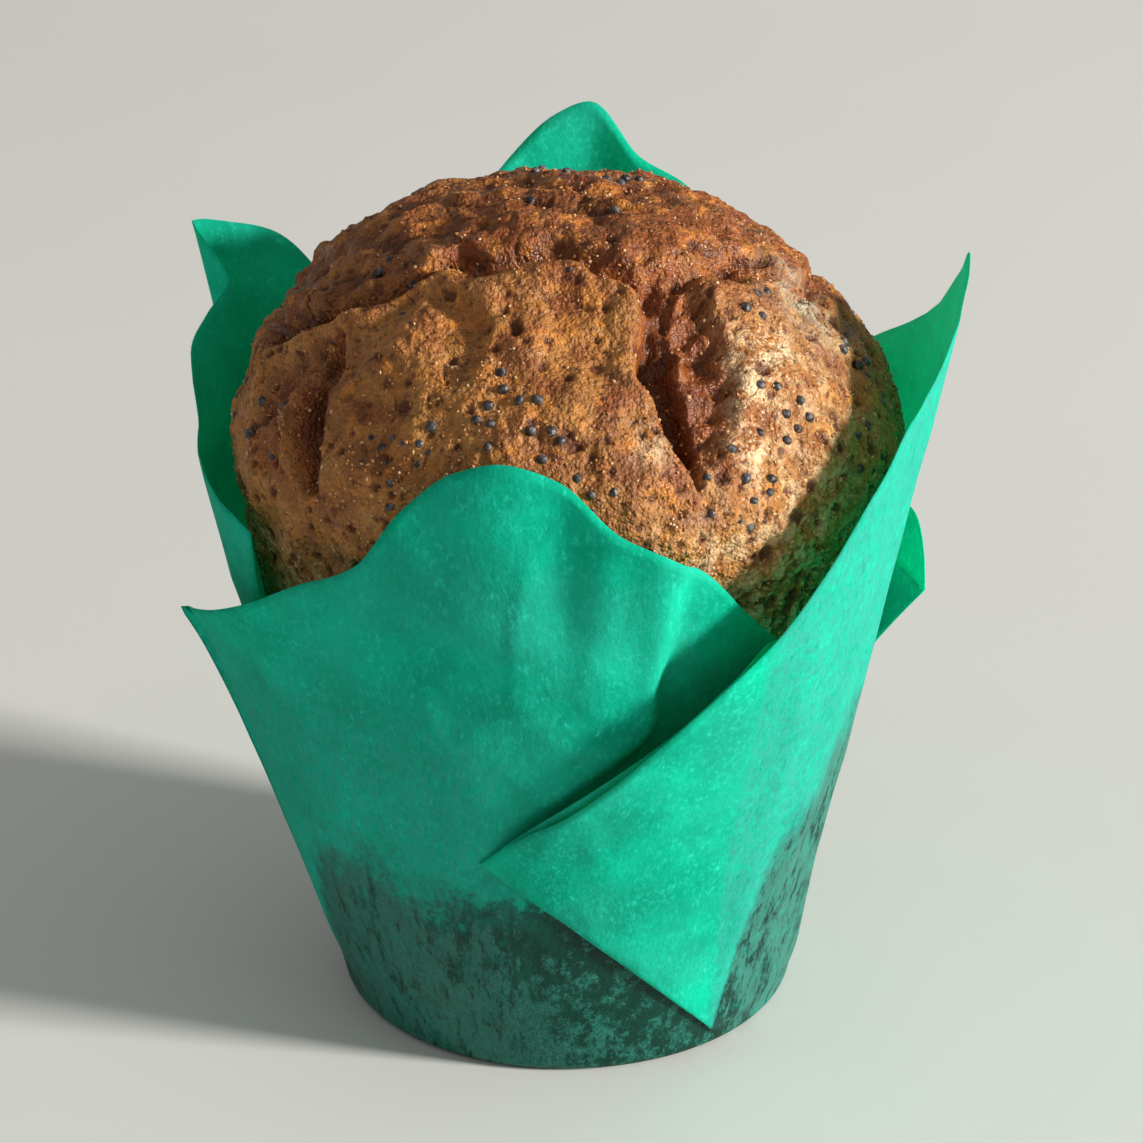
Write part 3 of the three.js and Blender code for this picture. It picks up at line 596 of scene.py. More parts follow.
def make_case():
    columns = sheet_columns()
    azimuth, radius, height, folded = sheet_grid(columns)
    count, rows = azimuth.shape
    degrees = np.degrees(azimuth)
    middle = np.stack([radius * np.cos(azimuth), radius * np.sin(azimuth), height], axis=2)
    dent = paper_dents(middle.reshape(-1, 3), degrees, height)
    front = (columns["petal"] == 0)[:, None] & (degrees > GROOVE_LIMIT)
    dent += np.where(front, groove(degrees, height), 0)
    dent *= smooth(*DENT_EASE, height)
    outward = np.stack([np.cos(azimuth), np.sin(azimuth), np.zeros_like(azimuth)], axis=2)
    middle = settle(middle + outward * dent[:, :, None])
    across = np.roll(middle, -1, axis=0) - np.roll(middle, 1, axis=0)
    normal = np.cross(across, np.gradient(middle, axis=1))
    normal /= np.maximum(np.linalg.norm(normal, axis=2, keepdims=True), 1e-9)
    normal[:, :len(BASE_RINGS)] = [0, 0, -1]
    thin = 1 - FOLD_THINNING * columns["strip"][:, None] * (1 - folded)
    thickness = PAPER * np.concatenate([np.ones((count, rows - WALL_ROW_COUNT)), thin], axis=1)
    shift = normal * thickness[:, :, None] / 2
    sides = [(middle + shift).reshape(-1, 3), (middle - shift).reshape(-1, 3)]
    points = np.concatenate([*sides, [[0, 0, 0], [0, 0, PAPER]]])
    grease, heart, wear_and_shade = case_stains(columns, degrees, height)
    flat = (np.radians(degrees) * BASE_RADIUS * WALL_MIDDLE, height, radius)  # the sheet unrolled
    return make_mesh("case_sheet", points, sheet_faces(count, rows), {
        "grease": on_both_sides(grease), "heart": on_both_sides(heart), "wear_and_shade": on_both_sides(wear_and_shade),
        "sheet": np.stack([on_both_sides(values) for values in flat], axis=1) * MM,
    })


# Cake

def cake_outline():
    """Distance from the top, radius and height along the cake's plain outline."""
    angle = np.linspace(0, math.pi / 2, 61)
    dome = np.stack([
        CAKE_RADIUS * np.sin(angle) ** (2 / DOME_POWER),
        CAKE_WIDEST + (CAKE_TOP - CAKE_WIDEST) * np.cos(angle) ** (2 / DOME_POWER),
    ], axis=1)
    height = np.linspace(CAKE_WIDEST, CAKE_FOOT, 61)[1:]
    share = (height / CAKE_WIDEST) ** SIDE_POWER
    side = np.stack([CAKE_FOOT_RADIUS + (CAKE_RADIUS - CAKE_FOOT_RADIUS) * share, height], axis=1)
    line = np.concatenate([dome, side, [[0, CAKE_FOOT]]])
    steps = np.linalg.norm(np.diff(line, axis=0), axis=1)
    return np.concatenate([[0], np.cumsum(steps)]), line[:, 0], line[:, 1]


ALONG, OUTLINE_RADIUS, OUTLINE_HEIGHT = cake_outline()


def outline_at(along):
    """Radius, height and outward direction of the plain outline."""
    radius = np.interp(along, ALONG, OUTLINE_RADIUS)
    height = np.interp(along, ALONG, OUTLINE_HEIGHT)
    ahead, behind = np.minimum(along + 0.6, ALONG[-1]), np.maximum(along - 0.6, 0)
    run = np.interp(ahead, ALONG, OUTLINE_RADIUS) - np.interp(behind, ALONG, OUTLINE_RADIUS)
    drop = np.interp(behind, ALONG, OUTLINE_HEIGHT) - np.interp(ahead, ALONG, OUTLINE_HEIGHT)
    length = np.hypot(run, drop)
    return radius, height, drop / length, run / length


def on_map(azimuth, along):
    """Flat map of the crust: the top is its middle, and distances from the top are true."""
    angle = np.radians(azimuth)
    return np.stack([along * np.cos(angle), along * np.sin(angle)], axis=-1)


def patch(place, azimuth, along, reach):
    """1 at a place on the map, falling off softly over its reach."""
    away = np.linalg.norm(place - on_map(azimuth, along), axis=1)
    return np.exp(-((away / reach) ** 2))


def past_ledge(azimuth, along):
    """How far below the lobes' rim a place lies, and how deep the crevice is there."""
    turn = np.where(azimuth > LEDGE[-1][0], azimuth - 360, azimuth)
    return along - follow(LEDGE, 1, turn), follow(LEDGE, 2, turn)


def cleft_depth(place, cleft):
    depth = np.zeros(len(place))
    for start_key, end_key in zip(cleft, cleft[1:]):
        start = on_map(start_key[0], start_key[1])
        line = on_map(end_key[0], end_key[1]) - start
        t = np.clip((place - start) @ line / (line @ line), 0, 1)
        width = start_key[2] + (end_key[2] - start_key[2]) * t
        deepest = start_key[3] + (end_key[3] - start_key[3]) * t
        away = np.linalg.norm(place - start - line * t[:, None], axis=1)
        wall = smooth(CLEFT_FLOOR * width, CLEFT_RIM * width, away)
        depth = np.maximum(depth, deepest * (1 - wall))
    return depth


def relief(azimuth, along):
    """How far the crust stands out from the plain outline, and how deep it is torn there."""
    place = on_map(azimuth, along)
    flat = np.c_[place, place[:, 0] * 0]
    ragged = place + 0.55 * np.stack([cloud(flat + shift, 2.4, 3) for shift in (0, 50)], axis=1)
    beyond, deep = past_ledge(azimuth, np.linalg.norm(ragged, axis=1))
    torn = deep * np.exp(-(((beyond + LEDGE_BACK) / LEDGE_WIDTH) ** 2))
    lip = LIP * np.minimum(deep / 1.6, 1) * np.exp(-(((beyond - LEDGE_BACK) / LIP_REACH) ** 2))
    height = LEDGE_RISE * (1 - smooth(-4, -2, beyond)) * smooth(0, 12, along) + lip
    for cleft in CLEFTS:
        torn = np.maximum(torn, cleft_depth(ragged, cleft))
    height -= torn
    for *spot, rise in SWELLINGS:
        height += rise * patch(place, *spot)
    radius, level, _, _ = outline_at(along)
    x, y = on_map(azimuth, radius).T
    for *direction, turns, rise in WAVES:
        height += rise * np.sin(turns * (direction[0] * x + direction[1] * y + direction[2] * level))
    return height * (1 - smooth(RELIEF_END - RELIEF_FADE, RELIEF_END, along)), torn


def crust_points(azimuth, along, rise):
    radius, height, outward, upward = outline_at(along)
    angle = np.radians(azimuth)
    facing = np.stack([outward * np.cos(angle), outward * np.sin(angle), upward], axis=1)
    shift = CAKE_SHIFT * smooth(CAKE_FOOT, CAKE_WIDEST, height)
    plain = np.stack([radius * np.cos(angle) + shift, radius * np.sin(angle), height], axis=1)
    return settle(plain + facing * rise[:, None]), facing


def crown_grid():
    """Places of a square grid laid out as a disc, so that the top has no pole."""
    line = np.linspace(-1, 1, CROWN_GRID + 1)
    a, b = np.meshgrid(line, line, indexing="ij")
    wide = np.abs(a) > np.abs(b)
    safe_a, safe_b = np.where(a == 0, 1, a), np.where(b == 0, 1, b)
    reach = np.where(wide, a, b)
    angle = np.where(wide, np.pi / 4 * b / safe_a, np.pi / 2 - np.pi / 4 * a / safe_b)
    angle = np.where(reach < 0, angle + np.pi, angle)
    return np.degrees(angle).ravel(), (np.abs(reach) * CROWN_REACH).ravel()


def grid_rim():
    """Indices round the edge of the crown grid, counterclockwise."""
    n = CROWN_GRID
    index = np.arange((n + 1) ** 2).reshape(n + 1, n + 1)
    return np.concatenate([index[:-1, 0], index[-1, :-1], index[:0:-1, -1], index[0, :0:-1]])


def cake_grid():
    """Azimuth and distance from the top of each of the cake's points, and its faces."""
    azimuth, along = crown_grid()
    n = CROWN_GRID + 1
    corner = np.arange(n * n).reshape(n, n)
    quads = np.stack([corner[:-1, :-1], corner[1:, :-1], corner[1:, 1:], corner[:-1, 1:]], axis=2)
    faces = quads.reshape(-1, 4).tolist()
    loop = rim = grid_rim()
    count, total = len(rim), n * n
    for level in np.linspace(CROWN_REACH, ALONG[-2], BODY_ROWS + 1)[1:]:
        following = np.arange(total, total + count)
        azimuth = np.concatenate([azimuth, azimuth[rim]])
        along = np.concatenate([along, np.full(count, level)])
        ahead, ahead_following = np.roll(loop, -1), np.roll(following, -1)
        faces += np.stack([loop, following, ahead_following, ahead], axis=1).tolist()
        loop, total = following, total + count
    faces += [(int(a), total, int(b)) for a, b in zip(loop, np.roll(loop, -1))]
    return (np.append(azimuth, 0) + 180) % 360 - 180, np.append(along, ALONG[-1]), faces


def fine_relief(rough, ragged, cap):
    """Crags, folds, pores and grains of the crust, and how low it lies among them, from 0 to 1, which
    sets the painted shade in its hollows.
    """
    crags = 0.5 - np.abs(clouds(rough, CRAG_SIZE, 11, 3)) * 2
    folds = 0.5 - np.abs(clouds(rough * [0.45, 1, 1.6], FOLD_SIZE, 15, 3)) * 2
    crumble = clouds(rough, CRUMBLE_SIZE, 21, 2, 0.8)
    grain, grain_own = pebbles(rough, GRAIN_SIZE, 51)
    lump, lump_own = pebbles(rough, LUMP_SIZE, 55)
    pit, pit_own = pebbles(rough, HOLLOW_SIZE, 61)
    hollow = smooth(0.36, 0.1, pit) * (pit_own > 0.62 - 0.3 * cap)
    pore, pore_own = pebbles(rough * [1, 1, 1.3], PORE_SIZE, 65)
    pores = smooth(0.42, 0.14, pore) * (pore_own > 0.72 - 0.35 * smooth(78, 58, rough[:, 2]))
    cracks = smooth(0.07, 0.0, np.abs(clouds(rough, CRACK_SIZE, 71, 3)))
    cracks *= smooth(0.0, 0.35, clouds(rough, 12, 75, 2) + 0.25 * cap)
    bump = CRAGS * crags + HILLS * clouds(rough, HILL_SIZE, 17, 2) + FOLDS * cap * folds
    bump += CRUMBLE * (1 - 0.5 * cap) * crumble
    bump -= HOLLOWS * hollow + CRACKS * cracks + PORES * pores
    bump += (GRAINS * (1 - 0.6 * cap) + TORN_GRAINS * ragged) * (0.55 - grain) * (0.5 + grain_own)
    bump += LUMPS * ragged * (0.5 - lump) * (0.4 + lump_own)
    bump -= bump.mean()
    # How low the crust lies among its relief, used only to paint shade into hollows, cracks and pores
    low = -bump * (0.9 - 0.35 * ragged) + 0.45 * hollow + 0.4 * cracks + 0.5 * pores
    return bump, np.clip(low, 0, 1)


def make_cake():
    azimuth, along, faces = cake_grid()
    rise, torn = relief(azimuth, along)
    rough, _ = crust_points(azimuth, along, rise)
    cap = 1 - smooth(-2.5, 0.5, past_ledge(azimuth, along)[0])
    bump, low = fine_relief(rough, smooth(0.4, 1.8, torn), cap)
    shown = 1 - smooth(RELIEF_END - RELIEF_FADE, RELIEF_END, along)
    points, _ = crust_points(azimuth, along, rise + bump * shown)
    place, level = on_map(azimuth, along), points[:, 2]
    toast = 0.22 + 0.4 * cap + 0.25 * smooth(66, 76, level) + 0.5 * clouds(rough, 13, 81, 3)
    sandy = smooth(72, 58, level) * (0.4 + 0.9 * clouds(rough, 16, 91, 2))
    sandy += 0.48 * np.exp(-(((azimuth - SANDY_AZIMUTH) / 20) ** 2)) * smooth(22, 30, along)
    for cream in CREAM_PATCHES:
        sandy += 0.65 * patch(place, *cream)
    return make_mesh("muffin_crust", points, faces, {
        "torn": np.clip(torn / DEEPEST_TEAR, 0, 1), "low": low, "toast": np.clip(toast, 0, 1),
        "sandy": np.clip(sandy, 0, 1), "dusty": patch(place, *DUSTY_PATCH),
    })


def random_numbers(state):
    """An endless run of repeatable numbers from 0 to 1."""
    while True:
        state = (state * 1664525 + 1013904223) % 4294967296
        yield state / 4294967296


def seed_places():
    """Places of the seeds in their groups, none on top of another, as in the solid."""
    draw = random_numbers(7)
    spots = []
    for azimuth, along, reach, count in SEED_GROUPS:
        middle = on_map(azimuth, along)
        for _ in range(count):
            across = reach * (next(draw) + next(draw) - 1)
            down = reach * (next(draw) + next(draw) - 1)
            spot = middle + np.array([across, down])
            apart = [np.linalg.norm(spot - other) for other in spots]
            if np.linalg.norm(spot) < SEED_LOWEST and min(apart, default=99) > SEED_APART:
                spots.append(spot)
    spots = np.array(spots)
    azimuth = np.degrees(np.arctan2(spots[:, 1], spots[:, 0]))
    along = np.linalg.norm(spots, axis=1)
    rise, _ = relief(azimuth, along)
    kept = rise > SEED_NOWHERE
    return crust_points(azimuth[kept], along[kept], rise[kept] + SEED_SINK)


# Small things scattered by geometry nodes

def fill(tree, node, inputs):
    """Links each of a node's inputs to a socket, or sets its value."""
    for key, value in inputs.items():
        if isinstance(value, bpy.types.NodeSocket):
            tree.links.new(value, node.inputs[key])
        else:
            node.inputs[key].default_value = value
    return node


def add_node(tree, kind, inputs):
    return fill(tree, tree.nodes.new(kind), inputs)


def new_tree(name, sizes):
    """A geometry node tree with named inputs for its sizes and its seed."""
    tree = bpy.data.node_groups.new(name, "GeometryNodeTree")
    tree.interface.new_socket("Geometry", in_out="INPUT", socket_type="NodeSocketGeometry")
    tree.interface.new_socket("Geometry", in_out="OUTPUT", socket_type="NodeSocketGeometry")
    for label in sizes:
        tree.interface.new_socket(label, in_out="INPUT", socket_type="NodeSocketFloat")
    tree.interface.new_socket("Seed", in_out="INPUT", socket_type="NodeSocketInt")
    return tree, tree.nodes.new("NodeGroupInput").outputs


def apply_tree(piece, tree, material, inputs):
    """Runs a tree on a piece once and keeps the plain mesh that comes out."""
    modifier = piece.modifiers.new(tree.name, "NODES")
    modifier.node_group = tree
    for socket in tree.interface.items_tree:
        if socket.in_out == "INPUT" and socket.name in inputs:
            modifier[socket.identifier] = inputs[socket.name]
    graph = bpy.context.evaluated_depsgraph_get()
    mesh = bpy.data.meshes.new_from_object(piece.evaluated_get(graph))
    piece.modifiers.remove(modifier)
    piece.data = mesh
    mesh.materials.clear()
    mesh.materials.append(material)
    return piece


def named(tree, name, kind):
    """A named attribute of the points."""
    node = add_node(tree, "GeometryNodeInputNamedAttribute", {"Name": name})
    node.data_type = kind
    return node.outputs["Attribute"]


def random_vector(tree, inputs):
    node = tree.nodes.new("FunctionNodeRandomValue")
    node.data_type = "FLOAT_VECTOR"
    return fill(tree, node, inputs).outputs["Value"]


def end_tree(tree, material, inputs):
    """Puts the shape on the points, makes the copies real and gives them their material."""
    place = add_node(tree, "GeometryNodeInstanceOnPoints", inputs)
    real = add_node(tree, "GeometryNodeRealizeInstances", {"Geometry": place.outputs["Instances"]})
    finish = add_node(tree, "GeometryNodeSetMaterial", {
        "Geometry": real.outputs["Geometry"], "Material": material,
    })
    add_node(tree, "NodeGroupOutput", {"Geometry": finish.outputs["Geometry"]})
    return tree


def seed_tree(material):
    """Stands a small ball on each point, flattened and turned along the point's own direction."""
    tree, start = new_tree("seeds on the crust", ["Radius"])
    ball = add_node(tree, "GeometryNodeMeshUVSphere", {
        "Segments": 8, "Rings": 5, "Radius": start["Radius"],
    })
    shade = add_node(tree, "GeometryNodeSetShadeSmooth", {"Geometry": ball.outputs["Mesh"]})
    align = tree.nodes.new("FunctionNodeAlignRotationToVector")
    align.axis = "Z"
    fill(tree, align, {"Vector": named(tree, "facing", "FLOAT_VECTOR")})
    size = random_vector(tree, {"Min": SEED_LEAST, "Max": SEED_MOST, "Seed": start["Seed"]})
    return end_tree(tree, material, {
        "Points": start["Geometry"], "Instance": shade.outputs["Geometry"],
        "Rotation": align.outputs["Rotation"], "Scale": size,
    })


def crumb_tree(material):
    """Scatters small uneven grains over the crust where its crumbly attribute allows."""
    tree, start = new_tree("crumbs on the crust", ["Size", "Density"])
    density = tree.nodes.new("ShaderNodeMath")
    density.operation = "MULTIPLY"
    fill(tree, density, {0: named(tree, "crumbly", "FLOAT"), 1: start["Density"]})
    scatter = add_node(tree, "GeometryNodeDistributePointsOnFaces", {
        "Mesh": start["Geometry"], "Density": density.outputs["Value"], "Seed": start["Seed"],
    })
    grain = add_node(tree, "GeometryNodeMeshIcoSphere", {"Subdivisions": 1, "Radius": start["Size"]})
    size = random_vector(tree, {"Min": CRUMB_LEAST, "Max": CRUMB_MOST})
    turn = random_vector(tree, {"Max": (6.28, 6.28, 6.28), "Seed": start["Seed"]})
    return end_tree(tree, material, {
        "Points": scatter.outputs["Points"], "Instance": grain.outputs["Mesh"],
        "Rotation": turn, "Scale": size,
    })


def make_crumbs(cake, material):
    """Grains lie thickest low on the lobes, and there are few in the clefts."""
    mesh = cake.data.copy()
    carrier = bpy.data.objects.new("crumbs", mesh)
    bpy.context.scene.collection.objects.link(carrier)
    places = np.empty(len(mesh.vertices) * 3)
    mesh.vertices.foreach_get("co", places)
    places = places.reshape(-1, 3) / MM
    level = places[:, 2]
    torn = np.empty(len(mesh.vertices), np.float32)
    mesh.attributes["torn"].data.foreach_get("value", torn)
    amount = smooth(47, 55, level) * (0.3 + 0.7 * smooth(-0.1, 0.5, clouds(places, 7, 77, 2)))
    amount = amount * (1 - 0.5 * smooth(74, 84, level)) * (1 - 0.6 * torn)
    attribute = mesh.attributes.new("crumbly", "FLOAT", "POINT")
    attribute.data.foreach_set("value", amount.astype(np.float32))
    return apply_tree(carrier, crumb_tree(material), material, {
        "Size": CRUMB_SIZE * MM, "Density": CRUMBS_PER_SQUARE_MM / MM ** 2, "Seed": 5,
    })


def make_seeds(material):
    points, facing = seed_places()
    carrier = make_mesh("poppy_seeds", points, [], {"facing": facing})
    inputs = {"Radius": SEED_RADIUS * MM, "Seed": 3}
    return apply_tree(carrier, seed_tree(material), material, inputs)


# Materials

class Shader:
    """A material under construction, with short calls for the nodes that it is made of."""

    def __init__(self, name):
        self.material = bpy.data.materials.new(name)
        self.material.use_nodes = True
        self.tree = self.material.node_tree
        self.surface = self.tree.nodes["Principled BSDF"]
        self.output = self.tree.nodes["Material Output"]
        self.place = self.add("ShaderNodeTexCoord", {}).outputs["Object"]

    def add(self, kind, inputs):
        return add_node(self.tree, kind, inputs)

    def finish(self, inputs):
        """Links or sets the surface's own inputs."""
        fill(self.tree, self.surface, inputs)
        return self.material

    def attribute(self, name, output="Fac"):
        node = self.add("ShaderNodeAttribute", {})
        node.attribute_name = name
        return node.outputs[output]

    def noise(self, scale, detail=3, roughness=0.55, place=None, distortion=0.0):
        """Noise with features about 1000 / scale millimetres apart."""
        return self.add("ShaderNodeTexNoise", {
            "Scale": scale, "Detail": detail, "Roughness": roughness, "Distortion": distortion,
            "Vector": place or self.place,
        }).outputs["Fac"]

    def stretched(self, scale, place):
        """The place with each axis scaled, for patterns drawn out along one of them."""
        return self.add("ShaderNodeMapping", {"Scale": scale, "Vector": place}).outputs["Vector"]

    def between(self, value, low, high, start=0.0, end=1.0):
        """value mapped from low..high to start..end, held at both ends."""
        return self.add("ShaderNodeMapRange", {
            "Value": value, "From Min": low, "From Max": high, "To Min": start, "To Max": end,
        }).outputs["Result"]

    def patches(self, limits, scale, *more, **options):
        """Noise mapped by limits: low, high, and start and end where they aren't 0 and 1."""
        return self.between(self.noise(scale, *more, **options), *limits)

    def grains(self, scale):
        """Rounded grains about 1000 / scale millimetres across, and a random tone for each."""
        node = self.add("ShaderNodeTexVoronoi", {"Scale": scale, "Vector": self.place})
        split = self.add("ShaderNodeSeparateColor", {"Color": node.outputs["Color"]})
        return self.math("SUBTRACT", 1.0, node.outputs["Distance"]), split.outputs["Red"]

    def grey(self, value):
        channels = {channel: value for channel in ("Red", "Green", "Blue")}
        return self.add("ShaderNodeCombineColor", channels).outputs["Color"]

    def math(self, operation, first, second):
        node = self.add("ShaderNodeMath", {0: first, 1: second})
        node.operation = operation
        return node.outputs["Value"]

    def mix(self, amount, first, second, blend="MIX"):
        """A colour between two, by an amount from 0 to 1."""
        node = self.tree.nodes.new("ShaderNodeMix")
        node.data_type = "RGBA"
        node.blend_type = blend
        first, second = ((*c, 1.0) if isinstance(c, tuple) else c for c in (first, second))
        return fill(self.tree, node, {0: amount, 6: first, 7: second}).outputs[2]

    def bump(self, height, distance, strength=1.0, below=None):
        inputs = {"Distance": distance, "Strength": strength, "Height": height}
        if below is not None:
            inputs["Normal"] = below
        return self.add("ShaderNodeBump", inputs).outputs["Normal"]


GOLDEN = (0.47, 0.21, 0.052)
BROWN = (0.21, 0.065, 0.013)
REDDISH = (0.27, 0.066, 0.014)
AMBER = (0.56, 0.21, 0.028)
SANDY = (0.78, 0.56, 0.33)
DUSTY = (0.42, 0.4, 0.29)
CRYSTAL = (0.85, 0.6, 0.34)
# Dark brown for random dark specks, and for painted shade in hollows and deep clefts
DARK_SPOTS_AND_SHADE = (0.1, 0.022, 0.004)
TORN = (0.17, 0.036, 0.007)
TORN_LIGHT = (0.36, 0.11, 0.03)
CRUMB_PALE = (0.56, 0.26, 0.08)
CRUMB_BROWN = (0.32, 0.11, 0.028)
SEED_BLACK = (0.014, 0.012, 0.013)
SEED_GREY = (0.05, 0.044, 0.048)
# Grey of dust on the seeds, which also stands in for their sheen as a painted highlight
SEED_DUST_AND_SHEEN = (0.24, 0.2, 0.18)
PAPER_GREEN = (0.003, 0.71, 0.48)
PAPER_DARK = (0.001, 0.47, 0.31)
PAPER_FLECK = (0.04, 0.94, 0.75)
# Grey-green of faded paper, also used as painted shade on the front petal's left part
PAPER_FADED_AND_SHADE = (0.05, 0.49, 0.42)
PAPER_CREASE = (0.004, 0.27, 0.2)
PAPER_LIGHT = (0.01, 0.95, 0.54)
PAPER_THROUGH = 0.38  # share of the light that goes through the sheet
GREASE_DARK = (0.001, 0.022, 0.012)
GREASE_SHADE = (0.008, 0.12, 0.092)
GREASE_TEAL = (0.045, 0.24, 0.19)
GREASE_PALE = (0.052, 0.27, 0.21)
FLOOR_SHADE = (0.74, 0.75, 0.73)
FLOOR_LIGHT = (0.78, 0.79, 0.77)


def crust_colour(shader, torn, low, toast, grain_tone):
    """Golden to brown with red and amber patches, pale grains and torn clefts, with painted shade in
    pits, hollows, pores and deep clefts.
    """
    sandy, dusty = shader.attribute("sandy"), shader.attribute("dusty")
    uneven = shader.patches((0.3, 0.7, -0.45, 0.45), 260, 4)
    baked = shader.between(shader.math("ADD", toast, uneven), 0.08, 0.85)
    colour = shader.mix(baked, GOLDEN, BROWN)
    red = shader.patches((0.46, 0.64), 210, 4, distortion=0.6)
    red = shader.math("MULTIPLY", red, shader.between(toast, 0.1, 0.8, 0.25, 0.8))
    colour = shader.mix(red, colour, REDDISH)
    amber = shader.patches((0.52, 0.66, 0, 0.8), 340, 4, 0.6, distortion=0.4)
    colour = shader.mix(amber, colour, AMBER)
    blotches = shader.patches((0.46, 0.56), 330, 6, 0.75)
    colour = shader.mix(shader.math("MULTIPLY", blotches, sandy), colour, SANDY)
    pale = shader.patches((0.36, 0.56), 450, 5, 0.7)
    colour = shader.mix(shader.math("MULTIPLY", pale, dusty), colour, DUSTY)
    tone = shader.math("ADD", shader.between(grain_tone, 0, 1, 0.4, 0.66),
                       shader.patches((0.35, 0.65, 0.34, 0.6), 1400, 4, 0.7))
    colour = shader.mix(1.0, colour, shader.grey(tone), "MULTIPLY")
    lift = shader.between(sandy, 0, 1, -0.1, 0.06)
    crystals = shader.between(shader.math("ADD", grain_tone, lift), 0.9, 0.97, 0, 0.6)
    colour = shader.mix(crystals, colour, CRYSTAL)
    colour = shader.mix(shader.patches((0.35, 0.45, 0.8, 0), 1000, 4, 0.65), colour, DARK_SPOTS_AND_SHADE)
    inside = shader.mix(shader.patches((0.42, 0.62), 600, 4, 0.6), TORN, TORN_LIGHT)
    # Painted shade: the deeper parts of the clefts are darkened
    inside = shader.mix(shader.between(torn, 0.35, 0.7, 0, 0.9), inside, DARK_SPOTS_AND_SHADE)
    colour = shader.mix(shader.between(torn, 0.05, 0.42, 0, 0.9), colour, inside)
    # Painted shade: darker where the crust lies low among its bumps, hollows, cracks and pores
    return shader.mix(shader.between(low, 0.12, 0.65, 0, 0.88), colour, DARK_SPOTS_AND_SHADE)


def crust_material():
    shader = Shader("baked crust")
    torn, low, toast = (shader.attribute(name) for name in ("torn", "low", "toast"))
    grains, grain_tone = shader.grains(3100)
    moist = shader.math("ADD", shader.between(torn, 0, 0.4, 0, 0.22),
                        shader.patches((0.42, 0.6, 0, 0.26), 300, 3))
    moist = shader.math("ADD", moist, shader.between(toast, 0.45, 0.9, 0, 0.12))
    fine = shader.bump(shader.noise(2700, 2, 0.5), 0.00026, 0.8)
    rounded = shader.bump(grains, 0.00024, 0.5, below=fine)
    crumbs = shader.bump(shader.grains(1650)[0], 0.0004, 0.5, below=rounded)
    middle = shader.bump(shader.noise(1200, 3, 0.6), 0.0004, 0.6, below=crumbs)
    return shader.finish({
        "Base Color": crust_colour(shader, torn, low, toast, grain_tone),
        "Roughness": shader.math("SUBTRACT", 0.68, moist),
        "Normal": shader.bump(shader.noise(520, 3, 0.6), 0.0007, 0.6, below=middle),
        "Specular IOR Level": 0.4,
        "Subsurface Weight": 0.32,
        "Subsurface Radius": (1.0, 0.4, 0.15),
        "Subsurface Scale": 0.0011,
    })


def crumb_material():
    shader = Shader("loose crumb")
    colour = shader.mix(shader.patches((0.38, 0.62), 300, 4), CRUMB_PALE, CRUMB_BROWN)
    colour = shader.mix(shader.patches((0.54, 0.64, 0, 0.8), 1500, 2), colour, SANDY)
    return shader.finish({
        "Base Color": colour,
        "Roughness": shader.patches((0.4, 0.6, 0.4, 0.75), 700),
        "Normal": shader.bump(shader.noise(5000, 2), 0.00005, 0.6),
    })


def seed_material():
    shader = Shader("poppy seed")
    colour = shader.mix(shader.patches((0.4, 0.62), 330, 2), SEED_BLACK, SEED_GREY)
    # Pale grey specks: partly dust, partly painted sheen
    colour = shader.mix(shader.patches((0.5, 0.64, 0, 0.75), 1900, 3), colour, SEED_DUST_AND_SHEEN)
    return shader.finish({
        "Base Color": colour,
        "Roughness": shader.patches((0.4, 0.6, 0.3, 0.55), 900),
        "Normal": shader.bump(shader.noise(3600, 3), 0.00012, 0.9),
    })


def dry_paper(shader, sheet, fibre, combed, wear_and_shade):
    """Cloudy green with pale and dark fibres, faded and creased where the paper shows wear, which also
    paints shade on the front petal's left part.
    """
    colour = shader.mix(shader.patches((0.34, 0.66), 140, 5, 0.6, sheet), PAPER_DARK, PAPER_GREEN)
    flecks = shader.patches((0.5, 0.68), 2100, 5, 0.7, fibre)
    flecked = shader.patches((0.38, 0.66, 0.25, 1), 330, 4, 0.6, sheet)
    colour = shader.mix(shader.math("MULTIPLY", flecks, flecked), colour, PAPER_FLECK)
    colour = shader.mix(shader.patches((0.32, 0.46, 0.7, 0), 2600, 4, 0.7, sheet), colour, PAPER_DARK)
    rubbed_and_shade = shader.math("MULTIPLY", wear_and_shade, shader.patches((0.38, 0.58, 0.2, 0.95), 1300, 4, 0.7, fibre))
    faded = shader.patches((0.44, 0.62, 0, 0.3), 60, 4, 0.6, sheet)
    # Grey-green where the paper is faded and where it shows wear, which also paints shade on the front
    # petal's left part
    colour = shader.mix(shader.math("MAXIMUM", faded, rubbed_and_shade), colour, PAPER_FADED_AND_SHADE)
    creased = shader.patches((0.5, 0.66, 0, 0.5), 1700, 5, 0.75, combed)
    return shader.mix(shader.math("MULTIPLY", wear_and_shade, creased), colour, PAPER_CREASE)


def grease_stain(shader, sheet, combed, wear_and_shade):
    """Mottled dark and teal, drawn out into pale streaks by the mask of wear and painted shade."""
    mottle = shader.mix(wear_and_shade, shader.noise(420, 9, 0.8, sheet), shader.noise(420, 9, 0.8, combed))
    shift = shader.math("SUBTRACT", shader.between(shader.attribute("heart"), 0, 1.1, -0.03, 0.055),
                        shader.between(wear_and_shade, 0, 1, 0, 0.012))
    spots = shader.between(shader.math("SUBTRACT", mottle, shift), 0.46, 0.53)
    teal = shader.mix(shader.patches((0.4, 0.62), 2300, 3, 0.7, sheet), GREASE_SHADE, GREASE_TEAL)
    teal = shader.mix(shader.between(wear_and_shade, 0.4, 1), teal, GREASE_PALE)
    return shader.mix(spots, GREASE_DARK, teal)


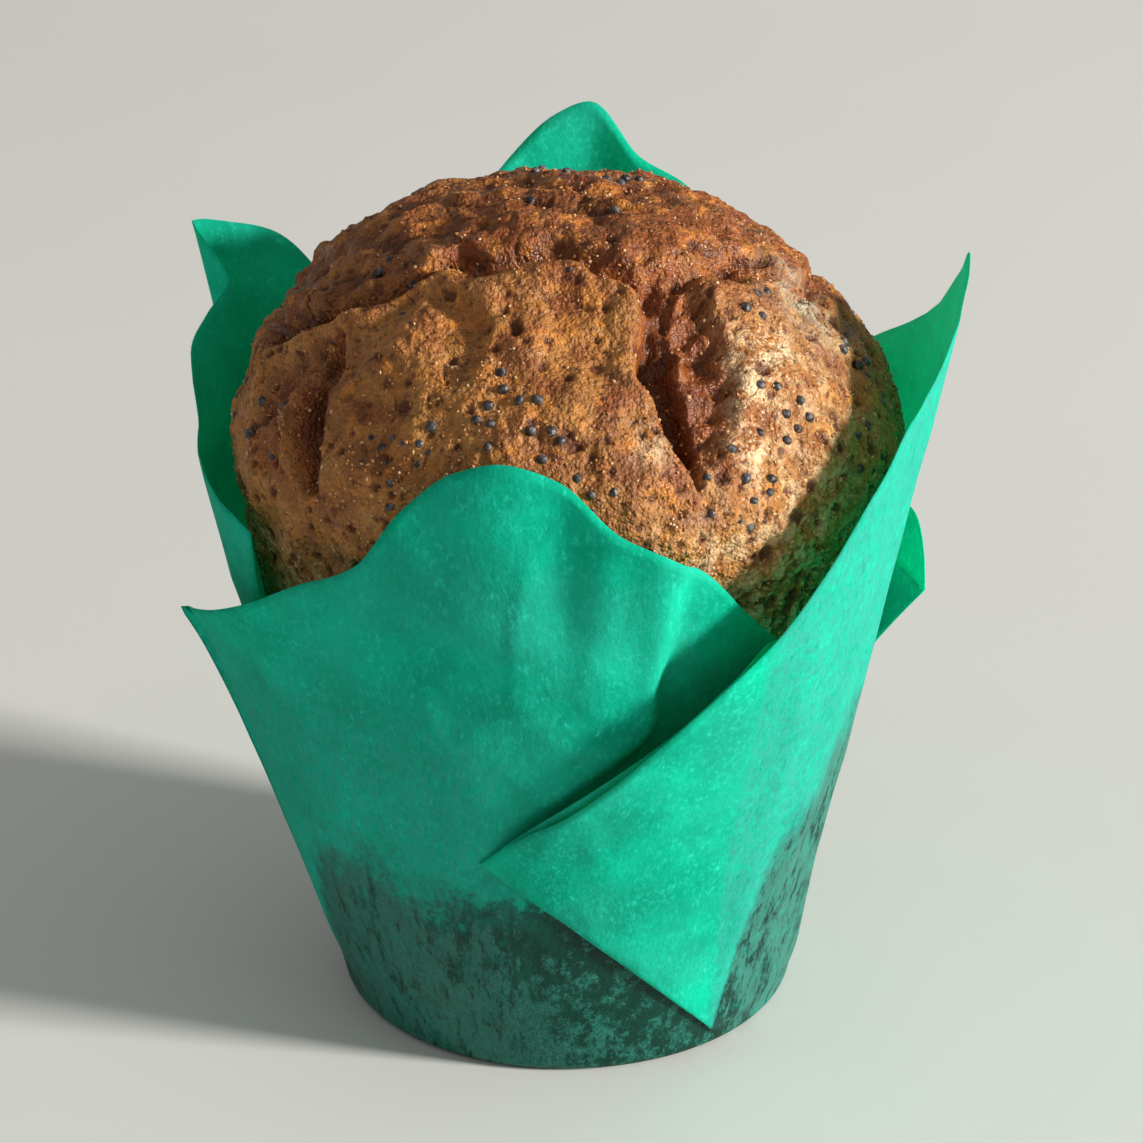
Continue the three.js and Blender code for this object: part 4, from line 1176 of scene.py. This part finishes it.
def paper_material():
    shader = Shader("green baking paper")
    sheet = shader.attribute("sheet", "Vector")
    grease, wear_and_shade = shader.attribute("grease"), shader.attribute("wear_and_shade")
    fibre = shader.stretched((1.0, 0.5, 1.0), sheet)
    combed = shader.stretched((1.6, 0.45, 1.0), sheet)
    dry = dry_paper(shader, sheet, fibre, combed, wear_and_shade)
    stain = grease_stain(shader, sheet, combed, wear_and_shade)
    ragged = shader.patches((0.3, 0.7, -0.4, 0.4), 420, 6, 0.75, sheet)
    edge = shader.math("ADD", grease, ragged)
    soaked = shader.mix(wear_and_shade, shader.between(edge, 0.42, 0.62), shader.between(edge, 0.1, 1))
    fibres = shader.bump(shader.noise(2600, 4, 0.65, sheet), 0.00006, 0.8)
    shader.finish({
        "Base Color": shader.mix(shader.math("MULTIPLY", soaked, 0.94), dry, stain),
        "Roughness": shader.between(soaked, 0, 1, 0.78, 0.45),
        "Specular IOR Level": shader.between(soaked, 0, 1, 0.12, 0.3),
        "Normal": shader.bump(shader.noise(420, 4, 0.65, fibre), 0.0004, 0.45, below=fibres),
    })
    glow = shader.mix(0.25, PAPER_LIGHT, dry)
    through = shader.add("ShaderNodeBsdfTranslucent", {"Color": shader.mix(soaked, glow, stain)})
    blend = shader.add("ShaderNodeMixShader", {
        "Fac": PAPER_THROUGH, 1: shader.surface.outputs["BSDF"], 2: through.outputs["BSDF"],
    })
    fill(shader.tree, shader.output, {"Surface": blend.outputs["Shader"]})
    return shader.material


# Floor, light and camera

def make_floor():
    shader = Shader("pale floor")
    colour = shader.mix(shader.patches((0.3, 0.7), 3, 3), FLOOR_SHADE, FLOOR_LIGHT)
    shader.finish({"Base Color": colour, "Roughness": 0.6})
    half = FLOOR_SIZE / 2
    corners = [(-half, -half, 0), (half, -half, 0), (half, half, 0), (-half, half, 0)]
    floor = make_mesh("floor", corners, [(0, 1, 2, 3)], {}, smooth_shaded=False)
    floor.data.materials.append(shader.material)


def make_lights():
    world = bpy.data.worlds.new("soft room")
    world.use_nodes = True
    background = world.node_tree.nodes["Background"]
    background.inputs["Color"].default_value = SKY_COLOUR
    background.inputs["Strength"].default_value = SKY_STRENGTH
    bpy.context.scene.world = world
    lamp = bpy.data.lights.new("key lamp", "AREA")
    lamp.size = KEY_SIZE
    lamp.energy = KEY_POWER
    lamp.color = KEY_COLOUR
    key = bpy.data.objects.new("key lamp", lamp)
    azimuth, elevation = math.radians(KEY_AZIMUTH), math.radians(KEY_ELEVATION)
    direction = Vector((
        math.cos(elevation) * math.cos(azimuth),
        math.cos(elevation) * math.sin(azimuth),
        math.sin(elevation),
    ))
    key.location = direction * KEY_DISTANCE
    key.rotation_euler = direction.to_track_quat("Z", "Y").to_euler()
    bpy.context.scene.collection.objects.link(key)


def make_camera():
    lens = bpy.data.cameras.new("camera")
    lens.sensor_width = SENSOR
    lens.lens = SENSOR * FOCAL_PIXELS / FRAME_PIXELS
    lens.clip_start = 0.01
    camera = bpy.data.objects.new("camera", lens)
    camera.location = Vector(CAMERA_PLACE) * MM
    camera.rotation_euler = (math.radians(90 - CAMERA_DOWN), 0, 0)
    bpy.context.scene.collection.objects.link(camera)
    bpy.context.scene.camera = camera


# Assembly

def give(piece, material, slot, *nodes):
    """Finishes a piece: its material, the CAD nodes it stands for and its body; the slot is not used.
    """
    piece.data.materials.clear()
    piece.data.materials.append(material)
    if nodes:
        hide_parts(*nodes)
    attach(piece, "root")


make_camera()
make_lights()
make_floor()
crust = crust_material()
crumb = crumb_material()
seed = seed_material()
paper = paper_material()
cake = make_cake()
crumbs = make_crumbs(cake, crumb)
seeds = make_seeds(seed)
case = make_case()
give(cake, crust, "crust", "muffin")
give(crumbs, crumb, "crust")
give(seeds, seed, "crust")
give(case, paper, "case_paper", "paper_case")
bpy.context.scene.view_settings.view_transform = "Standard"
